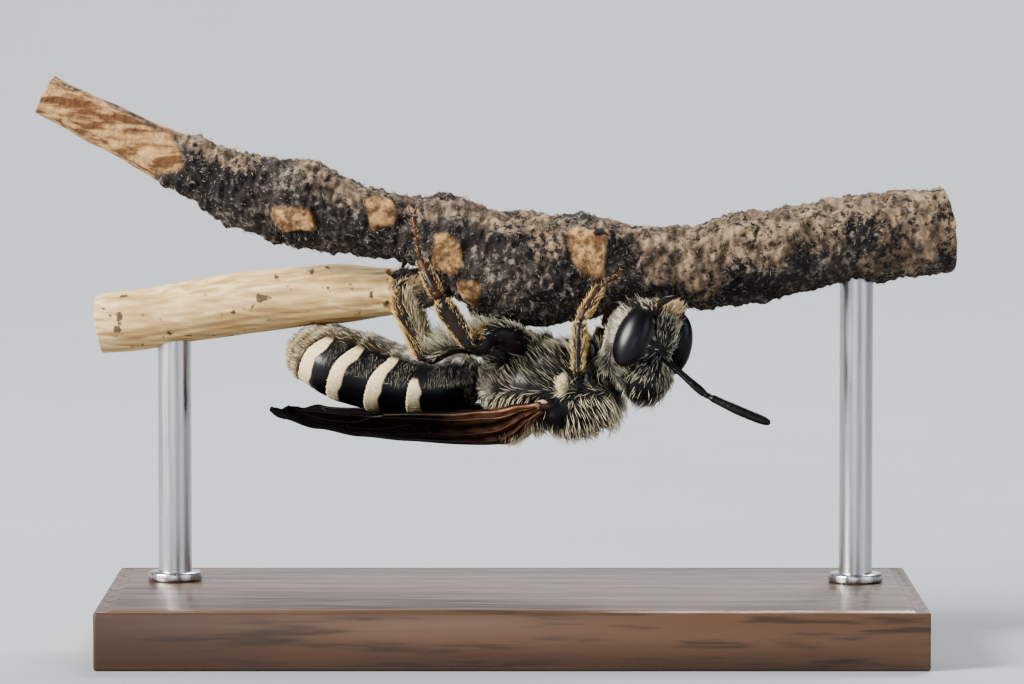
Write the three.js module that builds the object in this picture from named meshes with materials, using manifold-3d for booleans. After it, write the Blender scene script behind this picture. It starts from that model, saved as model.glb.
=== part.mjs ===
// A sweat bee hanging upside down under a forked dead twig, on a small display stand.
// Millimetres, +Z up, origin at the centre of the underside of the stand's base.
// The bee has a frame of its own: +X to its head, +Y to its left, +Z to its back.

import * as THREE from 'three';
import { mergeVertices } from 'three/addons/utils/BufferGeometryUtils.js';
import Module from 'manifold-3d';

const wasm = await Module();
wasm.setup();

// ---------------------------------------------------------------- driving dimensions

const GAP = 0.05; // clearance between neighbouring pieces
const DEG = Math.PI / 180;

const BASE = { length: 28, width: 14, height: 2, corner: 2.2, bevel: 0.4 };
const ROD_RADIUS = 0.6;
const ROD_FOOT = 0.5; // height at which the rods end inside the base
const RODS = { left: { x: -11.8, y: 2.75, top: 11.1 }, right: { x: 12.0, y: 2.15, top: 13.2 } };

const BEE_PLACE = [1.14, 0, 8.99]; // middle of the thorax
const BEE_YAW = 14 * DEG; // the head end turned toward the front

const HEAD = { place: [3.62, 0.08, -1.52], yaw: 21, pitch: -14, roll: -9 };
const HEAD_SIZE = { thickness: 1.85, width: 3.75, height: 3.95, lift: 0.28, cheeks: 0.45 };
const EYE = { place: [0.22, 1.4, -0.24], size: [0.66, 0.51, 1.14], lean: 11 };

const THORAX = { length: 5.1, width: 4.15, height: 4.05, squareness: 2.3, ahead: 0.12 };
const LIMB_SIDES = 8;

const WING_THICKNESS = 0.46;
const WING_LAYER = 0.5; // drop from the forewings to the hindwings under them

// ---------------------------------------------------------------- finishes

const finish = (color, roughness, metalness = 0) =>
  new THREE.MeshStandardMaterial({ color, roughness, metalness });

const FINISHES = {
  cuticle: finish(0x17161a, 0.35),
  coat: finish(0x8f8a76, 0.9),
  eye: finish(0x1b1a20, 0.12),
  legs: finish(0x6b4a22, 0.8),
  wing: finish(0x2c211c, 0.3),
  bark: finish(0x5a5048, 0.95),
  straw: finish(0xcdb083, 0.8),
  stand: finish(0x4a3424, 0.5),
  steel: finish(0xa9acae, 0.25, 1),
};

// ---------------------------------------------------------------- groups

const model = new THREE.Group();

const bee = new THREE.Group();
bee.position.fromArray(BEE_PLACE);
bee.rotation.set(Math.PI, 0, -BEE_YAW, 'ZYX');
model.add(bee);

const head = new THREE.Group();
head.position.fromArray(HEAD.place);
head.rotation.set(HEAD.roll * DEG, HEAD.pitch * DEG, HEAD.yaw * DEG, 'ZYX');
bee.add(head);

model.updateMatrixWorld(true);

// ---------------------------------------------------------------- solids

const smooth = (x) => x * x * (3 - 2 * x);
const clamp = (x, low = 0, high = 1) => Math.min(high, Math.max(low, x));

// Value at t of a smooth line through [t, value] stations.
function along(stations, t) {
  const last = stations.length - 1;
  if (t <= stations[0][0]) return stations[0][1];
  if (t >= stations[last][0]) return stations[last][1];
  const i = stations.findIndex(([station]) => station > t);
  const [t0, v0] = stations[i - 1];
  const [t1, v1] = stations[i];
  return v0 + (v1 - v0) * smooth((t - t0) / (t1 - t0));
}

// A closed body with shared vertices, each moved by reshape(point).
function shaped(geometry, reshape = () => {}) {
  geometry.deleteAttribute('normal');
  geometry.deleteAttribute('uv');
  const body = mergeVertices(geometry, 1e-4);
  const position = body.getAttribute('position');
  const point = new THREE.Vector3();
  for (let i = 0; i < position.count; i++) {
    point.fromBufferAttribute(position, i);
    reshape(point);
    position.setXYZ(i, point.x, point.y, point.z);
  }
  return body;
}

const vector = (p) => new THREE.Vector3(...p);
const through = (points) => new THREE.CatmullRomCurve3(points.map(vector), false, 'centripetal');

// A turned profile of [station, radius] pairs, bent along a curve. The section may be
// wider than it is high, and swell(t, angle) makes it knobbly.
function swept(curve, profile, { sides = LIMB_SIDES, wide = 1, swell = () => 1, up = [0, 0, 1] } = {}) {
  const turned = new THREE.LatheGeometry(profile.map(([t, r]) => new THREE.Vector2(r, t)), sides);
  const upward = vector(up);
  return shaped(turned, (point) => {
    const t = clamp(point.y);
    const radius = Math.hypot(point.x, point.z);
    const angle = Math.atan2(point.x, point.z);
    const ahead = curve.getTangentAt(t);
    const side = new THREE.Vector3().crossVectors(upward, ahead).normalize();
    const rise = new THREE.Vector3().crossVectors(side, ahead);
    const size = radius * swell(t, angle);
    point.copy(curve.getPointAt(t));
    point.addScaledVector(side, size * wide * Math.sin(angle));
    point.addScaledVector(rise, size * Math.cos(angle));
  });
}

// A limb with round ends through the points, with radii spread evenly along it.
function limb(points, radii, options = {}) {
  const curve = through(points);
  const length = curve.getLength();
  const steps = options.steps ?? 4;
  const stations = radii.map((r, i) => [i / (radii.length - 1), r]);
  const start = (0.6 * radii[0]) / length;
  const end = (0.6 * radii[radii.length - 1]) / length;
  const profile = [[0, 0], [start * 0.25, radii[0] * 0.66]];
  for (let i = 0; i <= steps; i++) {
    const t = start + (1 - start - end) * (i / steps);
    profile.push([t, along(stations, t)]);
  }
  profile.push([1 - end * 0.25, radii[radii.length - 1] * 0.66], [1, 0]);
  return swept(curve, profile, options);
}

// A rounded body of the given full size; squareness 2 is an ellipsoid.
function rounded(size, { squareness = 2, segments = [16, 10], reshape } = {}) {
  const flatten = 2 / squareness;
  const bow = (v) => Math.sign(v) * Math.abs(v) ** flatten;
  return shaped(new THREE.SphereGeometry(1, ...segments), (point) => {
    const { x, y, z } = point;
    point.set(bow(x), bow(y), bow(z)).multiplyScalar(0.5);
    if (squareness !== 2) {
      const power = Math.abs(2 * point.x) ** squareness + Math.abs(2 * point.y) ** squareness
        + Math.abs(2 * point.z) ** squareness;
      point.multiplyScalar(power ** (-1 / squareness));
    }
    point.multiply(vector(size));
    if (reshape) reshape(point);
  });
}

function toSolid(geometry) {
  const vertProperties = Float32Array.from(geometry.getAttribute('position').array);
  const triVerts = Uint32Array.from(geometry.getIndex().array);
  return new wasm.Manifold(new wasm.Mesh({ numProp: 3, vertProperties, triVerts }));
}

function toGeometry(solid) {
  const mesh = solid.getMesh();
  const geometry = new THREE.BufferGeometry();
  geometry.setAttribute('position', new THREE.BufferAttribute(Float32Array.from(mesh.vertProperties), 3));
  geometry.setIndex(new THREE.BufferAttribute(Uint32Array.from(mesh.triVerts), 1));
  return geometry;
}

// The same body with its surface moved out by the gap.
function swollen(geometry, gap = GAP) {
  const grown = geometry.clone();
  grown.computeVertexNormals();
  const position = grown.getAttribute('position');
  const normal = grown.getAttribute('normal');
  for (let i = 0; i < position.count; i++) {
    position.setXYZ(
      i,
      position.getX(i) + gap * normal.getX(i),
      position.getY(i) + gap * normal.getY(i),
      position.getZ(i) + gap * normal.getZ(i),
    );
  }
  return grown;
}

const placed = []; // every piece so far, as a box and a swollen solid in the model's frame

// Adds a piece to a group. It gives way to the pieces already placed where it meets them.
function addPiece(name, geometry, material, group = model) {
  let body = geometry.clone().applyMatrix4(group.matrixWorld);
  body.computeBoundingBox();
  const reach = body.boundingBox.clone().expandByScalar(GAP);
  const near = placed.filter((other) => other.box.intersectsBox(reach));
  let solid = toSolid(body);
  let cut = false;
  for (const other of near) {
    const rest = solid.subtract(other.solid);
    if (rest.volume() < solid.volume() - 1e-7) {
      solid = rest;
      cut = true;
    }
  }
  if (cut) {
    const parts = solid.decompose().sort((p, q) => q.volume() - p.volume());
    solid = parts[0].simplify(0.02);
    body = toGeometry(solid);
  }
  body.computeBoundingBox();
  placed.push({ name, box: body.boundingBox.clone(), solid: toSolid(swollen(body)) });
  body.applyMatrix4(group.matrixWorld.clone().invert());
  body.computeVertexNormals();
  const mesh = new THREE.Mesh(body, material);
  mesh.name = name;
  group.add(mesh);
  return mesh;
}

// ---------------------------------------------------------------- stand

for (const [side, { x, y, top }] of Object.entries(RODS)) {
  const rod = new THREE.CylinderGeometry(ROD_RADIUS, ROD_RADIUS, top - ROD_FOOT, 16);
  rod.rotateX(Math.PI / 2).translate(x, y, (top + ROD_FOOT) / 2);
  addPiece(`stand_rod_${side}`, shaped(rod), FINISHES.steel);
}

function roundedPlate({ length, width, height, corner, bevel }) {
  const x = length / 2 - bevel;
  const y = width / 2 - bevel;
  const outline = new THREE.Shape();
  outline.moveTo(-x + corner, -y).lineTo(x - corner, -y).quadraticCurveTo(x, -y, x, -y + corner);
  outline.lineTo(x, y - corner).quadraticCurveTo(x, y, x - corner, y);
  outline.lineTo(-x + corner, y).quadraticCurveTo(-x, y, -x, y - corner);
  outline.lineTo(-x, -y + corner).quadraticCurveTo(-x, -y, -x + corner, -y);
  const plate = new THREE.ExtrudeGeometry(outline, {
    depth: height - 2 * bevel, bevelThickness: bevel, bevelSize: bevel, bevelSegments: 1, curveSegments: 3,
  });
  return plate.translate(0, 0, bevel);
}
addPiece('stand_base', shaped(roundedPlate(BASE)), FINISHES.stand);

// ---------------------------------------------------------------- perch

// Axis point and radius at each station of the dark twig, from its broken end to its cut end.
const TWIG = [
  [-16.15, 1.2, 19.03, 0.86], [-13.55, 1.0, 17.75, 0.95], [-10.78, 0.8, 16.4, 1.14],
  [-9.05, 0.6, 15.7, 1.36], [-7.31, 0.4, 15.2, 1.46], [-3.86, 0.1, 14.45, 1.2], [-1.79, 0.1, 13.93, 1.5],
  [0.28, 0.2, 13.08, 1.97], [2.34, 0.35, 13.12, 1.8], [4.42, 0.75, 13.15, 1.55],
  [6.51, 1.1, 13.12, 1.54], [10.0, 1.75, 13.7, 1.5], [13.53, 2.5, 14.1, 1.52], [15.12, 2.8, 14.3, 1.5],
];
const PALE_BRANCH = [
  [-14.4, 3.0, 10.98, 1.06], [-12.65, 2.8, 11.2, 1.08], [-9.13, 2.3, 11.8, 1.1],
  [-6.33, 1.9, 12.1, 1.05], [-3.88, 1.3, 12.25, 0.86], [-2.14, 0.6, 12.6, 0.7],
];

// A cut length of stem: flat at both ends, with the radius of its nearest stations.
function stem(stations, { steps, sides, knobs }) {
  const curve = through(stations.map(([x, y, z]) => [x, y, z]));
  const last = stations.length - 1;
  const points = curve.getPoints(200);
  const radiusAt = stations.map(([x, y, z, r]) => {
    const nearest = points.map((p) => p.distanceTo(vector([x, y, z])));
    return [nearest.indexOf(Math.min(...nearest)), r];
  });
  const travelled = curve.getLengths(200);
  const profileStations = radiusAt.map(([i, r]) => [travelled[i] / travelled[200], r]);
  profileStations[0][0] = 0;
  profileStations[last][0] = 1;
  const profile = [[0, 0]];
  for (let i = 0; i <= steps; i++) profile.push([i / steps, along(profileStations, i / steps)]);
  profile.push([1, 0]);
  const swell = (t, angle) => 1 + knobs * Math.sin(23 * t + 2 * angle) * Math.cos(57 * t - angle);
  return swept(curve, profile, { sides, swell });
}
addPiece('perch_twig', stem(TWIG, { steps: 26, sides: 12, knobs: 0.04 }), FINISHES.bark);
addPiece('perch_branch', stem(PALE_BRANCH, { steps: 9, sides: 12, knobs: 0.01 }), FINISHES.straw);

// ---------------------------------------------------------------- head

const mirrored = (p, side) => [p[0], p[1] * side, p[2]];
const SIDES = { left: 1, right: -1 };

for (const [name, side] of Object.entries(SIDES)) {
  const eye = rounded(EYE.size.map((r) => 2 * r), { segments: [12, 8] });
  eye.rotateX(-side * EYE.lean * DEG).translate(...mirrored(EYE.place, side));
  addPiece(`eye_${name}`, eye, FINISHES.eye, head);
}

// The face bulges over the clypeus and the crown is rounder than the jaw end.
function headShape(point) {
  const tall = point.z / (HEAD_SIZE.height / 2);
  const wide = point.y / (HEAD_SIZE.width / 2);
  const front = point.x > 0 ? 1 : 0;
  if (point.x < 0) point.x *= 1 + HEAD_SIZE.cheeks * Math.exp(-(((Math.abs(wide) - 0.6) / 0.35) ** 2));
  point.x += front * 0.3 * Math.exp(-(((tall + 0.6) / 0.35) ** 2) - (wide / 0.4) ** 2);
  point.x += front * 0.3 * Math.exp(-(((tall - 0.65) / 0.35) ** 2));
  point.y *= 1 - 0.2 * clamp(-tall) ** 2 - 0.06 * clamp(tall) ** 2;
  point.z += HEAD_SIZE.lift;
}
addPiece(
  'head',
  rounded([HEAD_SIZE.thickness, HEAD_SIZE.width, HEAD_SIZE.height], {
    squareness: 2.3, segments: [18, 12], reshape: headShape,
  }),
  FINISHES.coat,
  head,
);

for (const [name, side] of Object.entries(SIDES)) {
  const jaw = [[0.35, 0.95, -1.15], [0.6, 0.85, -1.6], [0.8, 0.45, -1.86], [0.86, 0.08, -1.94]];
  addPiece(
    `mandible_${name}`,
    limb(jaw.map((p) => mirrored(p, side)), [0.3, 0.27, 0.16], { sides: 6, up: [1, 0, 0], steps: 3 }),
    FINISHES.cuticle,
    head,
  );
}

// The left antenna reaches forward and the right one lies beyond it, toward the far side.
const ANTENNAE = {
  left: [[0.75, 0.3, 0.2], [1.7, 0.1, 0.56], [2.66, -0.16, 0.97], [3.85, -0.56, 1.13], [5.02, -1.0, 1.24]],
  right: [[0.75, -0.3, 0.2], [1.4, -0.8, 0.66], [1.97, -1.37, 1.05], [2.82, -2.35, 1.28], [3.66, -3.34, 1.41]],
};
for (const [name, [socket, middle, elbow, bend, tip]] of Object.entries(ANTENNAE)) {
  const up = [0, 0, 1];
  addPiece(
    `antenna_${name}_scape`, limb([socket, middle, elbow], [0.25, 0.25, 0.25], { up, steps: 2 }),
    FINISHES.cuticle, head,
  );
  addPiece(
    `antenna_${name}_flagellum`, limb([elbow, bend, tip], [0.25, 0.26, 0.28], { up, steps: 3 }),
    FINISHES.cuticle, head,
  );
}

// ---------------------------------------------------------------- thorax

// The back of the thorax slopes down to the waist.
function thoraxShape(point) {
  const back = clamp(-point.x / (THORAX.length / 2));
  const front = clamp(point.x / (THORAX.length / 2));
  point.y *= 1 - 0.12 * back ** 2 - 0.1 * front ** 2;
  point.x += THORAX.ahead + 0.22 * front * Math.exp(-(((point.z - 0.9) / 0.7) ** 2));
  point.z += -0.1 * back - 0.05 * front ** 2;
  if (point.z > 0) point.z *= 1 - 0.1 * back ** 3;
}
addPiece(
  'thorax',
  rounded([THORAX.length, THORAX.width, THORAX.height], {
    squareness: THORAX.squareness, segments: [18, 13], reshape: thoraxShape,
  }),
  FINISHES.coat,
  bee,
);
addPiece('neck', limb([[1.9, 0, -0.6], [3.3, 0.06, -1.3]], [0.75, 0.7], { sides: 10, steps: 2 }), FINISHES.coat, bee);

for (const [name, side] of Object.entries(SIDES)) {
  const tegula = rounded([0.8, 0.5, 0.55], { segments: [10, 6] });
  tegula.translate(0.45, side * 2.0, 0.48);
  addPiece(`tegula_${name}`, tegula, FINISHES.cuticle, bee);
}

// ---------------------------------------------------------------- abdomen

const ABDOMEN_AXIS = through([
  [-2.2, 0, -0.3], [-3.4, 0, -0.03], [-4.6, 0, -0.03], [-5.9, 0, -0.26],
  [-7.1, 0, -0.66], [-8.2, 0, -1.08], [-9.3, 0, -1.5],
]);
const ABDOMEN_HEIGHT = [
  [0, 0.5], [0.05, 0.86], [0.15, 1.06], [0.32, 1.2], [0.52, 1.3], [0.68, 1.34],
  [0.84, 1.16], [0.9, 0.94], [0.945, 0.62], [0.975, 0.25],
];
const ABDOMEN_SPREAD = 1.62; // width over height
const SEGMENT_ENDS = [0, 0.303, 0.49, 0.675, 0.833, 0.915, 0.975];

for (let i = 0; i + 1 < SEGMENT_ENDS.length; i++) {
  const start = SEGMENT_ENDS[i] + (i > 0 ? 0.0035 : 0);
  const end = SEGMENT_ENDS[i + 1] - 0.0035;
  const size = (t) => along(ABDOMEN_HEIGHT, t);
  const profile = [[start, 0]];
  const steps = i % 5 === 0 ? 5 : 3; // the first and last are rounder
  for (let k = 0; k <= steps; k++) {
    const across = k / steps;
    const t = start + (end - start) * across;
    const bulge = i === 5 ? 1 : 0.965 + 0.05 * Math.sin(Math.PI * (0.15 + 0.62 * across));
    profile.push([t, size(t) * bulge]);
  }
  profile.push([end, 0]);
  // The back is flatter than the belly where the wings lie on it.
  const flat = (t, angle) => 1 - 0.14 * clamp((0.75 - t) / 0.2) * clamp(-Math.cos(angle)) * Math.sin(angle) ** 2;
  const body = swept(ABDOMEN_AXIS, profile, { sides: 24, wide: ABDOMEN_SPREAD, swell: flat });
  addPiece(`abdomen_segment_${i + 1}`, body, i < 4 ? FINISHES.cuticle : FINISHES.coat, bee);
}

// ---------------------------------------------------------------- wings

// The wings lie folded as a low roof over the abdomen, ridge over the midline.
const WING_ROOT = 0.35;
const WING_TIP = -9.75;
const RIDGE = [
  [-9.9, 1.12], [-9.4, 1.32], [-8.2, 1.64], [-6.6, 1.88], [-5.0, 1.98], [-3.0, 2.04], [-1.3, 2.02], [0.4, 1.45],
];
const EAVES = [
  [-9.9, 0.76], [-9.2, 0.78], [-8.1, 0.83], [-5.8, 0.91], [-2.9, 0.82], [-1.5, 0.68], [-0.2, 0.46], [0.4, 0.38],
];
const ROOF_HALF = [[-9.9, 0.9], [-9.0, 1.5], [-6.5, 2.1], [-3.5, 2.36], [-1.0, 2.2], [0.4, 1.9]];

function roof(x, y) {
  const outward = clamp(Math.abs(y) / along(ROOF_HALF, x), 0, 1.1);
  return along(RIDGE, x) + (along(EAVES, x) - along(RIDGE, x)) * outward ** 2;
}

const FOREWING = {
  root: WING_ROOT, tip: WING_TIP,
  outer: [[0, 1.95], [0.12, 2.22], [0.4, 2.4], [0.7, 2.1], [0.88, 1.65], [0.95, 1.35], [1, 1.0]],
  inner: [[0, 1.45], [0.08, 1.0], [0.18, 0.1], [0.3, 0.03], [0.94, 0.03], [1, 0.5]],
};
const HINDWING = {
  root: 0, tip: -6.7,
  outer: [[0, 1.7], [0.15, 1.95], [0.5, 1.9], [0.85, 1.5], [1, 1.0]],
  inner: [[0, 1.3], [0.12, 0.9], [0.26, 0.1], [0.4, 0.03], [0.88, 0.25], [1, 0.8]],
};

function wing({ root, tip, outer, inner }, side, drop, grid) {
  return shaped(new THREE.BoxGeometry(1, 1, 1, ...grid, 1), (point) => {
    const t = 0.5 - point.x;
    const x = root + (tip - root) * t;
    const chord = side * (side * point.y + 0.5);
    const y = side * along(inner, t) + chord * (along(outer, t) - along(inner, t));
    point.set(x, y, roof(x, y) - drop + (point.z - 0.5) * WING_THICKNESS);
  });
}
for (const [name, side] of Object.entries(SIDES)) {
  addPiece(`forewing_${name}`, wing(FOREWING, side, 0, [12, 4]), FINISHES.wing, bee);
}
for (const [name, side] of Object.entries(SIDES)) {
  addPiece(`hindwing_${name}`, wing(HINDWING, side, WING_LAYER, [7, 2]), FINISHES.wing, bee);
}

// ---------------------------------------------------------------- legs

// Hip, middle of the thigh, knee, ankle, end of the long foot joint and claws of each leg,
// gripping the twig.
const LEGS = {
  fore_left: [[1.82, 0.68, -1.29], [1.8, 1.5, -1.25], [1.74, 2.4, -0.59], [1.71, 2.0, -2.41],
    [2.25, 1.32, -3.57], [2.75, 1.0, -3.9]],
  middle_left: [[-0.43, 1.14, -1.53], [-1.2, 2.2, -1.95], [-1.71, 3.21, -1.44], [-2.88, 3.29, -3.17],
    [-3.68, 2.93, -4.57], [-4.08, 2.36, -6.07]],
  hind_left: [[-1.5, 1.2, -1.45], [-2.55, 1.85, -1.6], [-3.66, 2.36, -0.97], [-4.66, 2.3, -3.39],
    [-4.0, 1.2, -3.78], [-3.2, 0.44, -3.3]],
  fore_right: [[1.57, -0.7, -1.19], [1.35, -1.4, -1.15], [1.0, -2.21, -0.38], [1.47, -2.63, -1.9],
    [2.13, -2.59, -3.13], [2.43, -2.82, -4.06]],
  middle_right: [[-0.83, -0.77, -1.39], [-1.3, -1.6, -1.35], [-2.05, -2.48, -0.45], [-2.87, -1.76, -2.23],
    [-3.02, -1.36, -3.58], [-2.71, -1.28, -4.88]],
  hind_right: [[-2.0, -0.74, -1.13], [-2.9, -1.4, -1.25], [-4.58, -2.05, -0.43], [-5.32, -1.61, -2.76],
    [-5.36, -0.93, -3.99], [-4.57, -0.41, -5.0]],
};
const LEG_RADII = {
  fore: { femur: [0.4, 0.42, 0.3], tibia: [0.25, 0.34, 0.34], tarsus: [0.27, 0.27, 0.25] },
  middle: { femur: [0.5, 0.6, 0.32], tibia: [0.27, 0.4, 0.4], tarsus: [0.32, 0.28, 0.25] },
  hind: { femur: [0.6, 0.6, 0.36], tibia: [0.3, 0.5, 0.48], tarsus: [0.34, 0.3, 0.25] },
};
for (const [name, [hip, thigh, knee, ankle, joint, claws]] of Object.entries(LEGS)) {
  const radii = LEG_RADII[name.split('_')[0]];
  const up = [0.3, 0.2, 0.93];
  const across = [1, 0, 0.1];
  const sides = 7;
  addPiece(`leg_${name}_femur`, limb([hip, thigh, knee], radii.femur, { up, steps: 2 }), FINISHES.legs, bee);
  addPiece(`leg_${name}_tibia`, limb([knee, ankle], radii.tibia, { up: across, steps: 2 }), FINISHES.legs, bee);
  addPiece(
    `leg_${name}_tarsus`, limb([ankle, joint, claws], radii.tarsus, { up: across, steps: 3, sides }),
    FINISHES.legs, bee,
  );
}

export default model;
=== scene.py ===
"""A sweat bee hanging under a forked dead twig, on a small display stand.

Lengths are in millimetres until a piece is settled into the frame, in metres. The bee has a
frame of its own, with +X to its head, +Y to its left and +Z to its back, and its head another.
"""

import math

import bmesh
import bpy
import numpy as np
from mathutils import Matrix, Vector
from mathutils.kdtree import KDTree


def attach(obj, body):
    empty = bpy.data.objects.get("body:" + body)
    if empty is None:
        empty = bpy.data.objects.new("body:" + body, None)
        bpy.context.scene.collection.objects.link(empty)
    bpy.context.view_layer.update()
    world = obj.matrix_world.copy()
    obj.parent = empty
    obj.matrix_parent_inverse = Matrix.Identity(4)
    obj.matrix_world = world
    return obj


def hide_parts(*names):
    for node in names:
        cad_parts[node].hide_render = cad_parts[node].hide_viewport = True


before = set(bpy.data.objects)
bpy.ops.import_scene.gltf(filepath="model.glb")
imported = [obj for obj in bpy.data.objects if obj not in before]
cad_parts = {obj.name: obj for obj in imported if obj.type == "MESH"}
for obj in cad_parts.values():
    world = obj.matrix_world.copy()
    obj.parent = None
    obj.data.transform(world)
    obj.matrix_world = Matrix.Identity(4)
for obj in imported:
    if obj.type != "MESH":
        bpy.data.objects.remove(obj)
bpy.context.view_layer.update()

# ---------------------------------------------------------------- places and sizes

MM = 0.001
SEED = 20

BEE = Matrix.Translation((1.14, 0, 8.99)) @ Matrix.Rotation(math.radians(-14), 4, "Z") @ Matrix.Rotation(math.pi, 4, "X")
HEAD = (
    BEE @ Matrix.Translation((3.62, 0.08, -1.52)) @ Matrix.Rotation(math.radians(21), 4, "Z")
    @ Matrix.Rotation(math.radians(-14), 4, "Y") @ Matrix.Rotation(math.radians(-9), 4, "X")
)
WORLD = Matrix.Identity(4)

EYE_PLACE, EYE_SIZE, EYE_LEAN = (0.22, 1.4, -0.24), (0.64, 0.48, 1.12), 11
SOCKET = (0.86, 0.26, 0.26)
ANTENNAE = {
    "left": [(0.72, 0.26, 0.2), (1.7, 0.1, 0.56), (2.66, -0.16, 0.97), (3.85, -0.56, 1.13), (5.0, -1.0, 1.24)],
    "right": [(0.72, -0.26, 0.2), (1.4, -0.8, 0.66), (1.97, -1.37, 1.05), (2.82, -2.35, 1.28), (3.64, -3.34, 1.41)],
}

ABDOMEN_AXIS = [
    (-2.2, 0, -0.3), (-3.4, 0, -0.03), (-4.6, 0, -0.03), (-5.9, 0, -0.26), (-7.1, 0, -0.66),
    (-8.2, 0, -1.08), (-9.3, 0, -1.5),
]
ABDOMEN_HEIGHT = [
    (0, 0.3), (0.03, 0.62), (0.07, 0.84), (0.15, 1.0), (0.32, 1.14), (0.52, 1.24), (0.68, 1.28),
    (0.84, 1.1), (0.9, 0.88), (0.94, 0.56), (0.96, 0.3), (0.97, 0.0), (1, 0.0),
]
ABDOMEN_SPREAD = 1.62
SEGMENT_ENDS = [0, 0.303, 0.49, 0.675, 0.833, 0.915, 0.965]
BAND = 0.066  # share of the abdomen's length under each ivory band
SLANT = [(0, 0), (0.15, 0.03), (0.5, 0.026), (0.7, 0.012), (0.85, 0.008), (1, 0)]  # how far rings lean to the head
SWEEP = [(0, 0), (0.2, 0.05), (0.5, 0.085), (0.85, 0.085), (0.97, 0.02), (1, 0)]  # and how their ends sweep on below

# Hip, middle of the thigh, knee, ankle, end of the long foot joint and claws.
LEGS = {
    "fore_left": [
        (1.6, 0.5, -1.3), (1.78, 1.5, -1.25), (1.74, 2.4, -0.59), (1.71, 2.0, -2.41), (2.25, 1.32, -3.57),
        (2.75, 1.0, -3.9)],
    "middle_left": [
        (-0.3, 0.85, -1.4), (-1.25, 2.2, -1.95), (-1.71, 3.21, -1.44), (-2.88, 3.29, -3.17), (-3.68, 2.93, -4.57),
        (-4.08, 2.36, -6.07)],
    "hind_left": [
        (-1.4, 0.9, -1.3), (-2.55, 1.85, -1.6), (-3.66, 2.36, -0.97), (-4.66, 2.3, -3.39), (-4.0, 1.2, -3.78),
        (-3.2, 0.44, -3.3)],
    "fore_right": [
        (1.5, -0.5, -1.2), (1.35, -1.4, -1.15), (1.0, -2.21, -0.38), (1.47, -2.63, -1.9), (2.13, -2.59, -3.13),
        (2.43, -2.82, -4.06)],
    "middle_right": [
        (-0.6, -0.6, -1.3), (-1.3, -1.6, -1.35), (-2.05, -2.48, -0.45), (-2.87, -1.76, -2.23), (-3.02, -1.36, -3.58),
        (-2.71, -1.28, -4.88)],
    "hind_right": [
        (-1.6, -0.6, -1.1), (-2.9, -1.4, -1.25), (-4.58, -2.05, -0.43), (-5.32, -1.61, -2.76), (-5.36, -0.93, -3.99),
        (-4.57, -0.41, -5.0)],
}

# Height of the folded wings over the midline and at their outer edges, and where that edge is.
RIDGE = [(-9.9, 1.12), (-9.4, 1.32), (-8.2, 1.64), (-6.6, 1.88), (-5.0, 1.98), (-3.0, 2.04), (-1.3, 2.02), (0.4, 1.45)]
EAVES = [(-9.9, 0.76), (-9.2, 0.78), (-8.1, 0.83), (-5.8, 0.91), (-2.9, 0.82), (-1.5, 0.68), (-0.2, 0.46), (0.4, 0.38)]
ROOF_HALF = [(-9.9, 0.9), (-9.0, 1.5), (-6.5, 2.1), (-3.5, 2.36), (-1.0, 2.2), (0.4, 1.9)]

TWIG = [
    (-16.15, 1.2, 19.03, 0.86), (-13.55, 1.0, 17.75, 0.95), (-10.78, 0.8, 16.4, 1.14), (-9.05, 0.6, 15.7, 1.36),
    (-7.31, 0.4, 15.2, 1.46), (-3.86, 0.1, 14.45, 1.2), (-1.79, 0.1, 13.93, 1.5), (0.28, 0.2, 13.08, 1.97),
    (2.34, 0.35, 13.12, 1.8), (4.42, 0.75, 13.15, 1.55), (6.51, 1.1, 13.12, 1.54), (10.0, 1.75, 13.7, 1.5),
    (13.53, 2.5, 14.1, 1.52), (15.12, 2.8, 14.3, 1.5),
]
PALE_BRANCH = [
    (-14.4, 3.0, 10.98, 1.06), (-12.65, 2.8, 11.2, 1.08), (-9.13, 2.3, 11.8, 1.1), (-6.33, 1.9, 12.1, 1.05),
    (-3.88, 1.3, 12.25, 0.86), (-2.14, 0.6, 12.6, 0.7),
]

# ---------------------------------------------------------------- small tools


def only(piece):
    """Selects one object and nothing else."""
    bpy.ops.object.select_all(action="DESELECT")
    piece.select_set(True)
    bpy.context.view_layer.objects.active = piece


def modify(piece, kind, **settings):
    """Adds a modifier and applies it."""
    only(piece)
    bpy.ops.object.modifier_add(type=kind)
    modifier = piece.modifiers[-1]
    for key, value in settings.items():
        setattr(modifier, key, value)
    bpy.ops.object.modifier_apply(modifier=modifier.name)


def edit(piece, *steps):
    """Runs edit-mode operators on the whole of a piece."""
    only(piece)
    bpy.ops.object.mode_set(mode="EDIT")
    bpy.ops.mesh.select_all(action="SELECT")
    for step in steps:
        step()
    bpy.ops.object.mode_set(mode="OBJECT")


def points_of(piece):
    flat = np.empty(len(piece.data.vertices) * 3)
    piece.data.vertices.foreach_get("co", flat)
    return flat.reshape(-1, 3)


def move_points(piece, points):
    piece.data.vertices.foreach_set("co", np.asarray(points, dtype=float).ravel())
    piece.data.update()


def mark(piece, name, values):
    """Stores one number per vertex under a name that materials read."""
    store = piece.data.attributes.new(name, "FLOAT", "POINT")
    store.data.foreach_set("value", np.asarray(values, dtype=np.float32))


def settle(piece, place, slot, *nodes):
    """Moves a finished piece from its own millimetres into the frame, and ties it to the body."""
    piece.data.transform(Matrix.Scale(MM, 4) @ place)
    piece.data.update()
    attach(piece, "root")
    if nodes:
        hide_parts(*nodes)
    return piece


def join(pieces, name):
    """Joins pieces into the first one."""
    only(pieces[0])
    for piece in pieces:
        piece.select_set(True)
    if len(pieces) > 1:
        bpy.ops.object.join()
    piece = bpy.context.view_layer.objects.active
    piece.name = name
    return piece


def smooth_step(x):
    x = np.clip(x, 0, 1)
    return x * x * (3 - 2 * x)


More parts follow.
